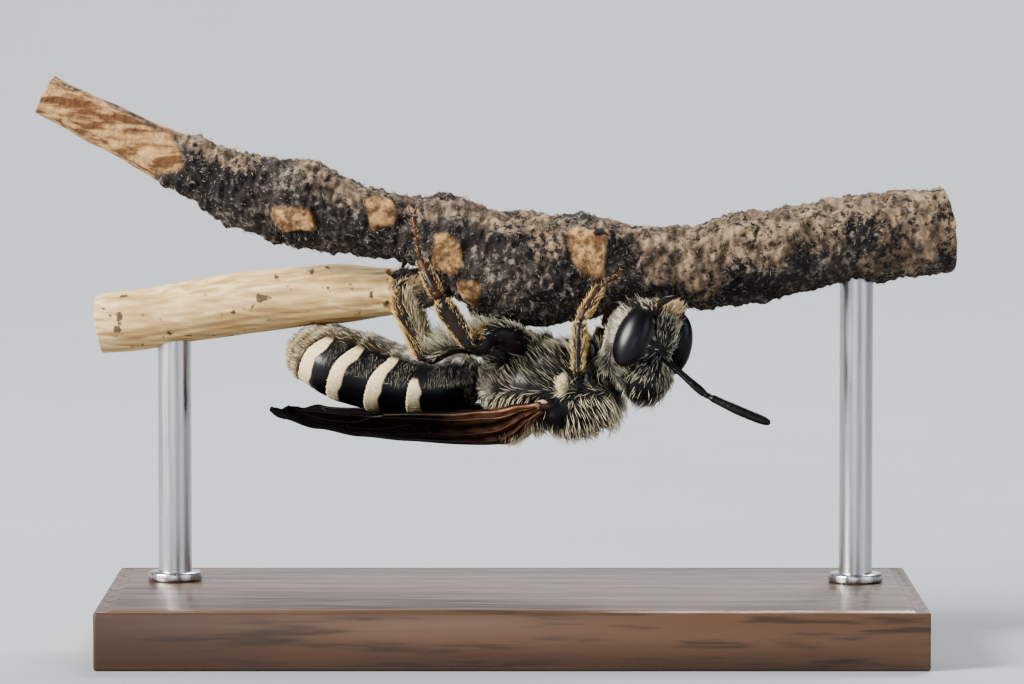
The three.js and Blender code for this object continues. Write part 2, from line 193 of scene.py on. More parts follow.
def along(stations, t):
    """Value at t of a smooth line through (t, value) stations."""
    ts, values = np.array(stations, float).T
    t = np.clip(t, ts[0], ts[-1])
    i = np.clip(np.searchsorted(ts, t, side="right") - 1, 0, len(ts) - 2)
    part = smooth_step((t - ts[i]) / (ts[i + 1] - ts[i]))
    return values[i] + (values[i + 1] - values[i]) * part


def bump_at(x, centre, width):
    return np.exp(-(((x - centre) / width) ** 2))


class Course:
    """A smooth curve through points, read at t from 0 to 1 of its length."""

    def __init__(self, points):
        points = np.array(points, float)
        steps = np.linalg.norm(np.diff(points, axis=0), axis=1) ** 0.5
        knots = np.concatenate([[0], np.cumsum(steps)])
        slopes = np.gradient(points, knots, axis=0) if len(points) > 2 else np.tile(
            (points[1] - points[0]) / steps[0], (2, 1))
        fine = np.linspace(0, knots[-1], 400)
        i = np.clip(np.searchsorted(knots, fine, side="right") - 1, 0, len(points) - 2)
        width = (knots[i + 1] - knots[i])[:, None]
        s = ((fine - knots[i])[:, None]) / width
        self.line = (
            points[i] * (1 + 2 * s) * (1 - s) ** 2 + points[i + 1] * s * s * (3 - 2 * s)
            + width * (slopes[i] * s * (1 - s) ** 2 - slopes[i + 1] * s * s * (1 - s))
        )
        travelled = np.concatenate([[0], np.cumsum(np.linalg.norm(np.diff(self.line, axis=0), axis=1))])
        self.length = travelled[-1]
        self.t = travelled / self.length
        self.heading = np.gradient(self.line, self.t, axis=0)

    def at(self, t):
        return np.stack([np.interp(t, self.t, self.line[:, k]) for k in range(3)], axis=-1)

    def ahead(self, t):
        return unit(np.stack([np.interp(t, self.t, self.heading[:, k]) for k in range(3)], axis=-1))

    def nearest(self, point):
        return self.t[np.argmin(np.linalg.norm(self.line - np.array(point), axis=1))]


def unit(v):
    return v / np.maximum(np.linalg.norm(v, axis=-1, keepdims=True), 1e-9)


def around(course, t, angle, radius, up=(0, 0, 1), wide=1.0):
    """Points round a course: angle 0 is against up, and turns toward the right-hand side."""
    ahead = course.ahead(t)
    side = unit(np.cross(np.array(up, float), ahead))
    rise = np.cross(side, ahead)
    return course.at(t) + radius[:, None] * (
        wide * np.sin(angle)[:, None] * side + np.cos(angle)[:, None] * rise)


def sleeve(name, place, sides, rings):
    """A grid rolled up into a tube: place(angle, t) gives the points, and pinched ends close it."""
    bpy.ops.object.select_all(action="DESELECT")
    bpy.ops.mesh.primitive_grid_add(x_subdivisions=sides, y_subdivisions=rings, size=1)
    piece = bpy.context.active_object
    piece.name = name
    flat = points_of(piece)
    angle, t = (flat[:, 0] + 0.5) * math.tau, flat[:, 1] + 0.5
    mark(piece, "angle", angle)
    mark(piece, "course", t)
    move_points(piece, place(angle, t))
    edit(piece, lambda: bpy.ops.mesh.remove_doubles(threshold=1e-5),
         lambda: bpy.ops.mesh.fill_holes(sides=0),
         lambda: bpy.ops.mesh.normals_make_consistent(inside=False))
    bpy.ops.object.shade_smooth()
    return piece


def limb(name, points, radii, sides=20, rings=24, up=(0, 0, 1), wide=1.0, knobs=None):
    """A tube with round ends through points. Radii are (t, radius) stations."""
    course = Course(points)

    def place(angle, t):
        ends = np.minimum(t, 1 - t) * course.length
        cap = np.sqrt(np.clip(1 - (1 - np.clip(ends / (0.7 * along(radii, t)), 0, 1)) ** 2, 0, 1))
        radius = along(radii, t) * cap
        if knobs:
            radius = radius * knobs(angle, t)
        return around(course, t, angle, radius, up, wide)

    return sleeve(name, place, sides, rings)


def ball(place, size, turn=(0, 0, 0)):
    bpy.ops.object.select_all(action="DESELECT")
    bpy.ops.mesh.primitive_uv_sphere_add(
        segments=32, ring_count=20, radius=1, location=place, scale=size,
        rotation=[math.radians(a) for a in turn])
    piece = bpy.context.active_object
    bpy.ops.object.transform_apply(location=True, rotation=True, scale=True)
    return piece


def fuse(name, pieces, voxel, rounds):
    """Melts overlapping pieces into one smooth skin."""
    skin = join(pieces, name)
    modify(skin, "REMESH", mode="VOXEL", voxel_size=voxel)
    modify(skin, "SMOOTH", factor=0.5, iterations=rounds)
    only(skin)
    bpy.ops.object.shade_smooth()
    return skin


# ---------------------------------------------------------------- materials


def node(tree, kind, inputs=None, **settings):
    """A shader node with its inputs set or linked."""
    made = tree.nodes.new(kind)
    for key, value in settings.items():
        setattr(made, key, value)
    for key, value in (inputs or {}).items():
        if isinstance(value, bpy.types.NodeSocket):
            tree.links.new(value, made.inputs[key])
        else:
            made.inputs[key].default_value = value
    return made


def mix(tree, factor, low, high, blend="MIX"):
    made = node(tree, "ShaderNodeMix", data_type="RGBA", blend_type=blend)
    for index, value in ((0, factor), (6, low), (7, high)):
        if isinstance(value, bpy.types.NodeSocket):
            tree.links.new(value, made.inputs[index])
        else:
            made.inputs[index].default_value = value if index == 0 else (*value[:3], 1)
    return made.outputs[2]


def ramp(tree, factor, *stops):
    made = node(tree, "ShaderNodeMapRange", {"Value": factor}, interpolation_type="SMOOTHSTEP")
    for key, value in zip(("From Min", "From Max", "To Min", "To Max"), stops):
        made.inputs[key].default_value = value
    return made.outputs[0]


def math_node(tree, operation, a, b=0.0):
    made = node(tree, "ShaderNodeMath", operation=operation)
    for index, value in ((0, a), (1, b)):
        if isinstance(value, bpy.types.NodeSocket):
            tree.links.new(value, made.inputs[index])
        else:
            made.inputs[index].default_value = value
    return made.outputs[0]


def marked(tree, name):
    return node(tree, "ShaderNodeAttribute", attribute_name=name).outputs["Fac"]


def place_of(tree):
    return node(tree, "ShaderNodeTexCoord").outputs["Object"]


def group(name, inputs, outputs, build):
    """A shader node group with named inputs and outputs."""
    tree = bpy.data.node_groups.new(name, "ShaderNodeTree")
    for label, kind, default in inputs:
        socket = tree.interface.new_socket(label, in_out="INPUT", socket_type=kind)
        socket.default_value = default
    for label, kind in outputs:
        tree.interface.new_socket(label, in_out="OUTPUT", socket_type=kind)
    entry, exit_ = tree.nodes.new("NodeGroupInput"), tree.nodes.new("NodeGroupOutput")
    for label, socket in build(tree, entry.outputs).items():
        tree.links.new(socket, exit_.inputs[label])
    return tree


def use(tree, shared, **inputs):
    made = node(tree, "ShaderNodeGroup", node_tree=shared)
    for label, value in inputs.items():
        socket = made.inputs[label.replace("_", " ")]
        if isinstance(value, bpy.types.NodeSocket):
            tree.links.new(value, socket)
        else:
            socket.default_value = (*value, 1) if isinstance(value, tuple) else value
    return made.outputs


FLOAT, COLOR = "NodeSocketFloat", "NodeSocketColor"


def build_grain(tree, given):
    """Soft mottling at one scale with fine grit over it."""
    where = place_of(tree)
    coarse = node(tree, "ShaderNodeTexNoise", {"Vector": where, "Scale": given["Scale"], "Detail": 6.0})
    fine_scale = math_node(tree, "MULTIPLY", given["Scale"], 6.0)
    fine = node(tree, "ShaderNodeTexNoise", {"Vector": where, "Scale": fine_scale, "Detail": 4.0})
    height = math_node(tree, "ADD", math_node(tree, "MULTIPLY", coarse.outputs[0], 0.7),
                       math_node(tree, "MULTIPLY", fine.outputs[0], 0.3))
    return {"Mottle": ramp(tree, coarse.outputs[0], 0.35, 0.65, 0, 1), "Height": height}


def build_pits(tree, given):
    """Close-set round punctures of insect shell."""
    cells = node(tree, "ShaderNodeTexVoronoi", {"Vector": place_of(tree), "Scale": given["Scale"], "Randomness": 0.9})
    depth = ramp(tree, cells.outputs["Distance"], 0.1, 0.42, 0, 1)
    return {"Height": depth}


def build_strand(tree, given):
    """Colour of a hair from its root to its tip, with each strand a little its own; the darker root end is painted
    shade deep in the coat.
    """
    tint, reach = marked(tree, "tint"), marked(tree, "reach")
    # the root colour is darker than the tip: painted shade deep in the coat
    body = mix(tree, ramp(tree, reach, 0.0, 0.55, 0, 1), given["Root"], given["Tip"])
    shade = ramp(tree, tint, 0, 1, 0.6, 1.15)
    tinted = node(tree, "ShaderNodeVectorMath", {0: body}, operation="SCALE")
    tree.links.new(shade, tinted.inputs["Scale"])
    return {"Color": tinted.outputs[0]}


GRAIN = group("grain", [("Scale", FLOAT, 1000.0)], [("Mottle", FLOAT), ("Height", FLOAT)], build_grain)
PITS = group("pits", [("Scale", FLOAT, 20000.0)], [("Height", FLOAT)], build_pits)
STRAND = group("strand", [("Root", COLOR, (0, 0, 0, 1)), ("Tip", COLOR, (1, 1, 1, 1))], [("Color", COLOR)], build_strand)


def material(name, build, **constants):
    """A material whose constants sit on the shader, and whose patterns build() links to it."""
    made = bpy.data.materials.new(name)
    made.use_nodes = True
    tree = made.node_tree
    shader = tree.nodes["Principled BSDF"]
    for label, value in constants.items():
        shader.inputs[label.replace("_", " ")].default_value = value
    links = build(tree)
    height = links.pop("Height", None)
    for label, socket in links.items():
        tree.links.new(socket, shader.inputs[label])
    if height:
        strength, distance, socket = height
        bump = node(tree, "ShaderNodeBump", {"Height": socket, "Strength": strength, "Distance": distance})
        tree.links.new(bump.outputs[0], shader.inputs["Normal"])
    return made


def dress(piece, *materials):
    piece.data.materials.clear()
    for one in materials:
        piece.data.materials.append(one)


def shell_look(tree):
    """Black pitted shell, pale where close hair frosts it."""
    grain = use(tree, GRAIN, Scale=900.0)
    pits = use(tree, PITS, Scale=17000.0)
    black = mix(tree, grain["Mottle"], (0.003, 0.003, 0.003), (0.009, 0.009, 0.009))
    frost = mix(tree, grain["Mottle"], (0.30, 0.27, 0.20), (0.62, 0.57, 0.43))
    bloom = marked(tree, "bloom")
    height = math_node(tree, "ADD", math_node(tree, "MULTIPLY", pits["Height"], 0.8), grain["Height"])
    return {
        "Base Color": mix(tree, bloom, black, frost), "Roughness": ramp(tree, bloom, 0, 0.5, 0.3, 0.85),
        "Height": (0.35, 0.00002, height),
    }


def banded_look(tree):
    """Black shell with ivory felt on the hind edges and a brownish belly."""
    where = place_of(tree)
    grain = use(tree, GRAIN, Scale=1200.0)
    pits = use(tree, PITS, Scale=21000.0)
    black = mix(tree, grain["Mottle"], (0.003, 0.003, 0.005), (0.010, 0.010, 0.013))
    belly = mix(tree, grain["Mottle"], (0.035, 0.024, 0.014), (0.10, 0.074, 0.045))
    shell = mix(tree, marked(tree, "belly"), black, belly)
    threads = node(tree, "ShaderNodeTexNoise", {"Vector": where, "Scale": 14000.0, "Detail": 3.0})
    ivory = mix(tree, threads.outputs[0], (0.55, 0.41, 0.21), (0.90, 0.77, 0.50))
    felt = marked(tree, "felt")
    height = math_node(tree, "ADD", math_node(tree, "MULTIPLY", pits["Height"], 0.35),
                       math_node(tree, "MULTIPLY", threads.outputs[0], felt))
    return {
        "Base Color": mix(tree, felt, shell, ivory), "Roughness": ramp(tree, felt, 0, 1, 0.36, 0.85),
        "Height": (0.35, 0.00002, height),
    }


def coat_look(tree):
    """Grey to cream hair, gold where marked, each strand darkened toward its root as painted shade deep in the coat."""
    pale = marked(tree, "pale")
    gold = marked(tree, "gold")
    grey = use(tree, STRAND, Root=(0.010, 0.009, 0.008), Tip=(0.060, 0.055, 0.043))["Color"]
    cream = use(tree, STRAND, Root=(0.21, 0.18, 0.12), Tip=(0.97, 0.90, 0.69))["Color"]
    yellow = use(tree, STRAND, Root=(0.20, 0.085, 0.016), Tip=(0.92, 0.62, 0.23))["Color"]
    return {"Base Color": mix(tree, gold, mix(tree, pale, grey, cream), yellow)}


def felt_look(tree):
    """Close ivory felt, each strand a little darker toward its root as painted shade."""
    dull = use(tree, STRAND, Root=(0.58, 0.42, 0.21), Tip=(0.90, 0.75, 0.47))["Color"]
    bright = use(tree, STRAND, Root=(0.74, 0.60, 0.36), Tip=(0.98, 0.90, 0.66))["Color"]
    return {"Base Color": mix(tree, marked(tree, "pale"), dull, bright)}


def leg_look(tree):
    grain = use(tree, GRAIN, Scale=1500.0)
    dark = mix(tree, grain["Mottle"], (0.005, 0.004, 0.004), (0.018, 0.011, 0.008))
    rust = mix(tree, grain["Mottle"], (0.055, 0.020, 0.007), (0.16, 0.062, 0.019))
    return {
        "Base Color": mix(tree, marked(tree, "rust"), dark, rust), "Roughness": ramp(tree, grain["Mottle"], 0, 1, 0.3, 0.5),
        "Height": (0.3, 0.00002, grain["Height"]),
    }


def eye_look(tree):
    facets = node(tree, "ShaderNodeTexVoronoi", {"Vector": place_of(tree), "Scale": 34000.0, "Randomness": 0.15})
    grain = use(tree, GRAIN, Scale=1400.0)
    colour = mix(tree, grain["Mottle"], (0.003, 0.003, 0.004), (0.008, 0.007, 0.010))
    return {"Base Color": colour, "Height": (0.05, 0.00001, facets.outputs["Distance"])}


def wing_look(tree):
    """Smoky membrane, amber toward the hinge, with painted shade darkening the grooves of its folds."""
    span = marked(tree, "span")
    fold = marked(tree, "fold")
    grain = use(tree, GRAIN, Scale=2200.0)
    smoke = mix(tree, grain["Mottle"], (0.003, 0.002, 0.002), (0.009, 0.006, 0.005))
    amber = mix(tree, grain["Mottle"], (0.085, 0.040, 0.022), (0.23, 0.122, 0.070))
    # painted shade: near-black colour laid into the pleat grooves near the hinge
    fold_shade = mix(tree, grain["Mottle"], (0.009, 0.005, 0.004), (0.030, 0.016, 0.010))
    near = mix(tree, fold, amber, fold_shade)
    return {
        "Base Color": mix(tree, ramp(tree, span, 0.08, 0.42, 1, 0), smoke, near),
        "Alpha": ramp(tree, span, 0.0, 0.6, 0.999, 0.99),
        "Height": (0.25, 0.00003, grain["Height"]),
    }


def vein_look(tree):
    span = marked(tree, "span")
    grain = use(tree, GRAIN, Scale=3000.0)
    rust = mix(tree, grain["Mottle"], (0.15, 0.065, 0.034), (0.38, 0.205, 0.12))
    dark = mix(tree, grain["Mottle"], (0.007, 0.005, 0.004), (0.022, 0.013, 0.009))
    horn = mix(tree, grain["Mottle"], (0.20, 0.12, 0.08), (0.62, 0.48, 0.38))
    vein = mix(tree, ramp(tree, span, 0.1, 0.42, 0, 1), rust, dark)
    return {"Base Color": mix(tree, marked(tree, "horn"), vein, horn)}


SHELL = material("black_shell", shell_look, Specular_IOR_Level=0.28)
BANDED = material("banded_shell", banded_look, Specular_IOR_Level=0.36)
COAT = material("body_hair", coat_look, Roughness=0.6, Specular_IOR_Level=0.25)
FELT = material("band_felt", felt_look, Roughness=0.9, Specular_IOR_Level=0.1)
LEG = material("leg_shell", leg_look, Specular_IOR_Level=0.3)
EYE = material("eye", eye_look, Roughness=0.33, Specular_IOR_Level=0.32)
WING = material("wing_membrane", wing_look, Roughness=0.65, Specular_IOR_Level=0.03)
VEIN = material("wing_vein", vein_look, Roughness=0.45, Specular_IOR_Level=0.3)


def bark_look(tree):
    """Black bark under a broken grey crust, lighter and tan on top, partly the bark's own tone and partly painted light
    from above, with corky scars and a peeled end.
    """
    where = place_of(tree)
    grain = use(tree, GRAIN, Scale=520.0)
    crust = use(tree, GRAIN, Scale=1900.0)
    flecks = node(tree, "ShaderNodeTexNoise", {"Vector": where, "Scale": 4200.0, "Detail": 5.0, "Roughness": 0.65})
    cells = node(tree, "ShaderNodeTexVoronoi", {"Vector": where, "Scale": 2300.0}, feature="F1")
    dark = mix(tree, grain["Mottle"], (0.007, 0.005, 0.004), (0.034, 0.026, 0.020))
    pale = mix(tree, crust["Mottle"], (0.050, 0.040, 0.033), (0.23, 0.19, 0.155))
    tan = mix(tree, crust["Mottle"], (0.085, 0.057, 0.036), (0.31, 0.222, 0.145))
    # the upper side gets more crust and a lighter tan: partly painted light from above, partly the bark's own tone
    top = marked(tree, "topside")
    cover = math_node(tree, "ADD", flecks.outputs[0], math_node(tree, "MULTIPLY", top, 0.125))
    cover = math_node(tree, "ADD", cover, math_node(tree, "MULTIPLY", grain["Mottle"], 0.09))
    bark = mix(tree, ramp(tree, cover, 0.54, 0.68, 0, 1), dark, mix(tree, top, pale, tan))
    cork = mix(tree, crust["Mottle"], (0.19, 0.093, 0.036), (0.52, 0.315, 0.145))
    scar = mix(tree, ramp(tree, flecks.outputs[0], 0.40, 0.56, 0.75, 0), cork, (0.06, 0.030, 0.014))
    long_grain = node(tree, "ShaderNodeTexNoise", {
        "Vector": node(tree, "ShaderNodeMapping", {
            "Vector": where, "Rotation": (0, math.radians(-27), 0), "Scale": (0.16, 1.0, 1.0)}).outputs[0],
        "Scale": 3600.0, "Detail": 5.0})
    wood = mix(tree, ramp(tree, long_grain.outputs[0], 0.38, 0.6, 0, 1), (0.14, 0.062, 0.024), (0.50, 0.30, 0.135))
    wood = mix(tree, ramp(tree, grain["Mottle"], 0.5, 1, 0, 0.55), wood, (0.10, 0.045, 0.02))
    colour = mix(tree, marked(tree, "peel"), mix(tree, marked(tree, "scar"), bark, scar), wood)
    height = math_node(tree, "ADD", math_node(tree, "MULTIPLY", flecks.outputs[0], 1.2),
                       math_node(tree, "MULTIPLY", cells.outputs["Distance"], 0.5))
    return {"Base Color": colour, "Height": (1.0, 0.0001, height)}


def stem_look(tree):
    """Pale peeled stem with fine long lines and dark specks."""
    where = place_of(tree)
    along_stem = node(tree, "ShaderNodeMapping", {
        "Vector": where, "Rotation": (0, math.radians(7), math.radians(10)), "Scale": (0.12, 1.0, 1.0)})
    lines = node(tree, "ShaderNodeTexNoise", {"Vector": along_stem.outputs[0], "Scale": 5200.0, "Detail": 4.0})
    grain = use(tree, GRAIN, Scale=420.0)
    specks = node(tree, "ShaderNodeTexNoise", {"Vector": where, "Scale": 2300.0, "Detail": 3.0})
    straw = mix(tree, ramp(tree, lines.outputs[0], 0.3, 0.7, 0, 1), (0.40, 0.25, 0.10), (0.80, 0.60, 0.32))
    warm = mix(tree, ramp(tree, grain["Mottle"], 0, 1, 0, 0.45), straw, (0.46, 0.29, 0.12))
    colour = mix(tree, ramp(tree, specks.outputs[0], 0.64, 0.70, 0, 0.9), warm, (0.05, 0.030, 0.018))
    bark = mix(tree, grain["Mottle"], (0.012, 0.010, 0.009), (0.13, 0.095, 0.07))
    return {"Base Color": mix(tree, marked(tree, "peel"), bark, colour), "Height": (0.4, 0.00005, lines.outputs[0])}


def fibre_look(tree):
    # each fibre darkens toward its root: painted shade down at the bark's surface
    pale = use(tree, STRAND, Root=(0.06, 0.05, 0.042), Tip=(0.60, 0.55, 0.48))["Color"]
    dark = use(tree, STRAND, Root=(0.006, 0.005, 0.005), Tip=(0.05, 0.040, 0.034))["Color"]
    tan = use(tree, STRAND, Root=(0.12, 0.07, 0.035), Tip=(0.58, 0.42, 0.27))["Color"]
    return {"Base Color": mix(tree, marked(tree, "gold"), mix(tree, marked(tree, "pale"), dark, pale), tan)}


def stand_look(tree):
    """Dark stained wood with long growth lines under a satin varnish."""
    where = place_of(tree)
    stretched = node(tree, "ShaderNodeMapping", {"Vector": where, "Scale": (0.08, 1.0, 1.0)})
    rings = node(tree, "ShaderNodeTexWave", {
        "Vector": stretched.outputs[0], "Scale": 170.0, "Distortion": 6.0, "Detail": 4.0, "Detail Scale": 2.0},
        wave_type="BANDS", bands_direction="Y")
    pores = node(tree, "ShaderNodeTexNoise", {"Vector": stretched.outputs[0], "Scale": 3500.0, "Detail": 4.0})
    stain = mix(tree, rings.outputs["Fac"], (0.050, 0.024, 0.012), (0.125, 0.065, 0.034))
    colour = mix(tree, ramp(tree, pores.outputs[0], 0.5, 0.7, 0, 0.75), stain, (0.022, 0.011, 0.006))
    return {
        "Base Color": colour, "Roughness": ramp(tree, pores.outputs[0], 0.3, 0.7, 0.3, 0.5),
        "Height": (0.15, 0.00004, pores.outputs[0]),
    }


def steel_look(tree):
    where = place_of(tree)
    brushed = node(tree, "ShaderNodeMapping", {"Vector": where, "Scale": (1.0, 1.0, 0.03)})
    lines = node(tree, "ShaderNodeTexNoise", {"Vector": brushed.outputs[0], "Scale": 9000.0, "Detail": 3.0})
    return {
        "Base Color": mix(tree, lines.outputs[0], (0.42, 0.42, 0.43), (0.66, 0.66, 0.66)),
        "Roughness": ramp(tree, lines.outputs[0], 0.3, 0.7, 0.22, 0.4), "Height": (0.1, 0.00001, lines.outputs[0]),
    }


BARK = material("bark", bark_look, Roughness=0.9)
STEM = material("peeled_stem", stem_look, Roughness=0.7)
FIBRE = material("bark_fibre", fibre_look, Roughness=0.7)
STAND = material("stand_wood", stand_look, Coat_Weight=0.25, Coat_Roughness=0.2)
STEEL = material("rod_steel", steel_look, Metallic=1.0)

# ---------------------------------------------------------------- hair

PATCH = 0.003  # width of a hair's place on the unwrap of its skin


def surface_of(pieces):
    """Corner points, normals and area of every triangle of some skins."""
    corners, normals = [], []
    for piece in pieces:
        data = piece.data
        data.calc_loop_triangles()
        tris = np.empty(len(data.loop_triangles) * 3, dtype=np.int64)
        data.loop_triangles.foreach_get("vertices", tris)
        facing = np.empty(len(data.vertices) * 3)
        data.vertices.foreach_get("normal", facing)
        corners.append(points_of(piece)[tris].reshape(-1, 3, 3))
        normals.append(facing.reshape(-1, 3)[tris].reshape(-1, 3, 3))
    corners, normals = np.concatenate(corners), np.concatenate(normals)
    area = np.linalg.norm(np.cross(corners[:, 1] - corners[:, 0], corners[:, 2] - corners[:, 0]), axis=1)
    return corners, normals, area


def strew(pieces, count, density, rng):
    """Roots and normals strewn over skins, as dense as density(points, normals) says."""
    corners, normals, area = surface_of(pieces)
    middle, facing = corners.mean(axis=1), unit(normals.mean(axis=1))
    weight = area * np.clip(density(middle, facing), 0, None)
    pick = rng.choice(len(area), size=count, p=weight / weight.sum())
    share = rng.random((count, 2))
    fold = share.sum(axis=1) > 1
    share[fold] = 1 - share[fold]
    share = np.column_stack([1 - share.sum(axis=1), share])[:, :, None]
    return (corners[pick] * share).sum(axis=1), unit((normals[pick] * share).sum(axis=1))


def nearest_guide(points, guides):
    """Which of some points each point lies nearest to."""
    tree = KDTree(len(guides))
    for i, guide in enumerate(guides):
        tree.insert(guide, i)
    tree.balance()
    return np.array([tree.find(point)[1] for point in points])


def coat(name, pieces, count, density, groom, unwrap, seed, levels=(0.0, 0.45, 0.8), tuft=7):
    """Hair over skins: each is a thin three-sided spike that bends toward its lie and its tuft.

    groom(points, normals, rng) gives the lie, lift (0 flat, 1 upright), length, width, pale and
    gold of each hair. unwrap(points) gives its root's place on an unwrap of the skin.
    """
    rng = np.random.default_rng(SEED + seed)
    root, normal = strew(pieces, count, density, rng)
    look = groom(root, normal, rng)
    many = lambda key, default=0.0: np.broadcast_to(np.asarray(look.get(key, default), float), (count,))
    lie = np.broadcast_to(np.asarray(look["lie"], float), (count, 3))
    lie = unit(lie - normal * (lie * normal).sum(axis=1, keepdims=True) + 1e-6)
    lift, wild = many("lift")[:, None], many("wild", 0.16)[:, None]
    first = unit(normal * lift + lie * (1 - lift) + rng.normal(0, 1, (count, 3)) * wild)
    last = unit(normal * lift * many("stand", 0.35)[:, None] + lie + rng.normal(0, 1, (count, 3)) * wild * 2)
    length = (many("length") * rng.uniform(0.6, 1.15, count))[:, None]
    side = unit(np.cross(first, normal + rng.normal(0, 0.3, (count, 3))))
    over = np.cross(first, side)
    guides = rng.choice(count, count // tuft, replace=False)
    guide = guides[nearest_guide(root, root[guides])]
    draw = many("draw", 0.55)[:, None]
    last = unit(last + (last[guide] - last) * draw)
    pull = (root[guide] - root) * draw * rng.uniform(0.6, 1.1, (count, 1))

    rings = len(levels)
    per = rings * 3 + 1
    points = np.empty((count, per, 3))
    reach = np.empty((count, per))
    centre = lambda t: root - normal * 0.015 + length * (first * (t - t * t / 2) + last * (t * t / 2)) + pull * t ** 1.4
    for ring, t in enumerate(levels):
        radius = (many("width") * 0.5 * (1 - t) ** 0.6)[:, None]
        for k in range(3):
            turn = k * math.tau / 3
            points[:, ring * 3 + k] = centre(t) + radius * (side * math.cos(turn) + over * math.sin(turn))
        reach[:, ring * 3:ring * 3 + 3] = t
    points[:, -1], reach[:, -1] = centre(1.0), 1

    quads, uv = [], []
    for ring in range(rings - 1):
        for k in range(3):
            n = (k + 1) % 3
            quads.append([ring * 3 + k, ring * 3 + n, ring * 3 + 3 + n, ring * 3 + 3 + k])
            low, high = levels[ring], levels[ring + 1]
            uv += [(k / 3, low), ((k + 1) / 3, low), ((k + 1) / 3, high), (k / 3, high)]
    tips = []
    for k in range(3):
        tips.append([rings * 3 - 3 + k, rings * 3 - 3 + (k + 1) % 3, per - 1])
        uv += [(k / 3, levels[-1]), ((k + 1) / 3, levels[-1]), ((k + 0.5) / 3, 1.0)]
    corners = np.array([v for face in quads + tips for v in face])
    sizes = np.array([4] * len(quads) + [3] * len(tips))

    mesh = bpy.data.meshes.new(name)
    mesh.vertices.add(count * per)
    mesh.vertices.foreach_set("co", points.ravel())
    loops = (corners[None, :] + (np.arange(count) * per)[:, None]).ravel()
    mesh.loops.add(len(loops))
    mesh.loops.foreach_set("vertex_index", loops)
    sizes = np.tile(sizes, count)
    mesh.polygons.add(len(sizes))
    mesh.polygons.foreach_set("loop_start", np.concatenate([[0], np.cumsum(sizes)[:-1]]))
    mesh.polygons.foreach_set("use_smooth", np.ones(len(sizes), dtype=bool))
    mesh.update(calc_edges=True)
    home = np.clip(unwrap(root), 0.0, 1.0) * (1 - PATCH)
    places = home[:, None, :] + np.array(uv)[None, :, :] * PATCH
    mesh.uv_layers.new(name="OFBake").data.foreach_set("uv", places.astype(np.float32).ravel())
    piece = bpy.data.objects.new(name, mesh)
    bpy.context.scene.collection.objects.link(piece)
    mark(piece, "reach", reach.ravel())
    for key in ("pale", "gold"):
        mark(piece, key, np.repeat(np.clip(many(key), 0, 1), per))
    mark(piece, "tint", np.repeat(rng.random(count), per))
    return piece


def guard_hairs(rng, share):
    """Marks the long bright guard hairs with 1, and the short dark down between them with 0."""
    return (rng.random(len(share)) < share) * 1.0


def unwrap_about(axis, low, high):
    """A wrap round an axis (0, 1 or 2) between two ends, cut along one side."""
    one, two = [k for k in range(3) if k != axis]

    def unwrap(p):
        turn = np.arctan2(p[:, one], p[:, two]) / math.tau + 0.5
        return np.column_stack([turn, (p[:, axis] - low) / (high - low)])

    return unwrap


# ---------------------------------------------------------------- head

head = fuse("head_skin", [
    ball((-0.08, 0, 0.1), (0.62, 1.55, 1.55)),
    ball((0.42, 0, 1.08), (0.7, 1.08, 0.98)),
    ball((0.55, 0, 0.5), (0.42, 0.62, 0.5)),
    ball((-0.3, 1.0, -0.1), (0.62, 0.6, 1.3)),
    ball((-0.3, -1.0, -0.1), (0.62, 0.6, 1.3)),
    ball((0.3, 0, 0.1), (0.42, 1.0, 1.1)),
    ball((0.42, 0, -0.85), (0.44, 0.72, 0.6), (0, 12, 0)),
    ball((0.66, -0.04, -0.3), (0.3, 0.5, 0.66)),
    ball((0.6, 0, -1.38), (0.2, 0.42, 0.2)),
    ball((0.3, 0.7, -1.2), (0.3, 0.4, 0.3)),
    ball((0.3, -0.7, -1.2), (0.3, 0.4, 0.3)),
    ball((0.76, 0.26, 0.24), (0.13, 0.15, 0.15)),
    ball((0.76, -0.26, 0.24), (0.13, 0.15, 0.15)),
], 0.035, 14)


def eye(name, side):
    piece = ball((0, 0, 0), EYE_SIZE, (-side * EYE_LEAN, 0, 0))
    piece.name = name
    piece.data.transform(Matrix.Translation((EYE_PLACE[0], side * EYE_PLACE[1], EYE_PLACE[2])))
    modify(piece, "SUBSURF", levels=1, render_levels=1)
    only(piece)
    bpy.ops.object.shade_smooth()
    dress(piece, EYE)
    return piece


def mandible(name, side):
    jaw = [(0.3, 0.85 * side, -1.2), (0.52, 0.74 * side, -1.62), (0.66, 0.42 * side, -1.84), (0.7, 0.08 * side, -1.92)]
    piece = limb(name, jaw, [(0, 0.15), (0.5, 0.12), (0.9, 0.06), (1, 0.035)], 14, 16, (1, 0, 0))
    mark(piece, "rust", np.full(len(piece.data.vertices), 0.03))
    dress(piece, LEG)
    return piece


def antenna(name, points):
    socket, middle, elbow, bend, tip = points
    middle, elbow, bend = (np.array(p, float) for p in (middle, elbow, bend))
    over = elbow + unit(elbow - middle) * 0.07
    scape = limb(name, [socket, middle, over], [(0, 0.06), (0.4, 0.08), (0.85, 0.125), (1, 0.1)], 16, 24)
    joints = lambda angle, t: 1 - 0.07 * (1 - np.abs(np.sin(math.pi * np.clip((t - 0.1) * 11, 0, 10.5)))) ** 4
    whip = limb("whip", [elbow - unit(bend - elbow) * 0.05, bend, tip],
                [(0, 0.08), (0.06, 0.1), (0.1, 0.085), (0.16, 0.125), (0.55, 0.16), (0.82, 0.152), (0.91, 0.13), (0.97, 0.09), (1, 0.03)],
                16, 120, knobs=joints)
    piece = join([scape, whip], name)
    dress(piece, SHELL)
    return piece


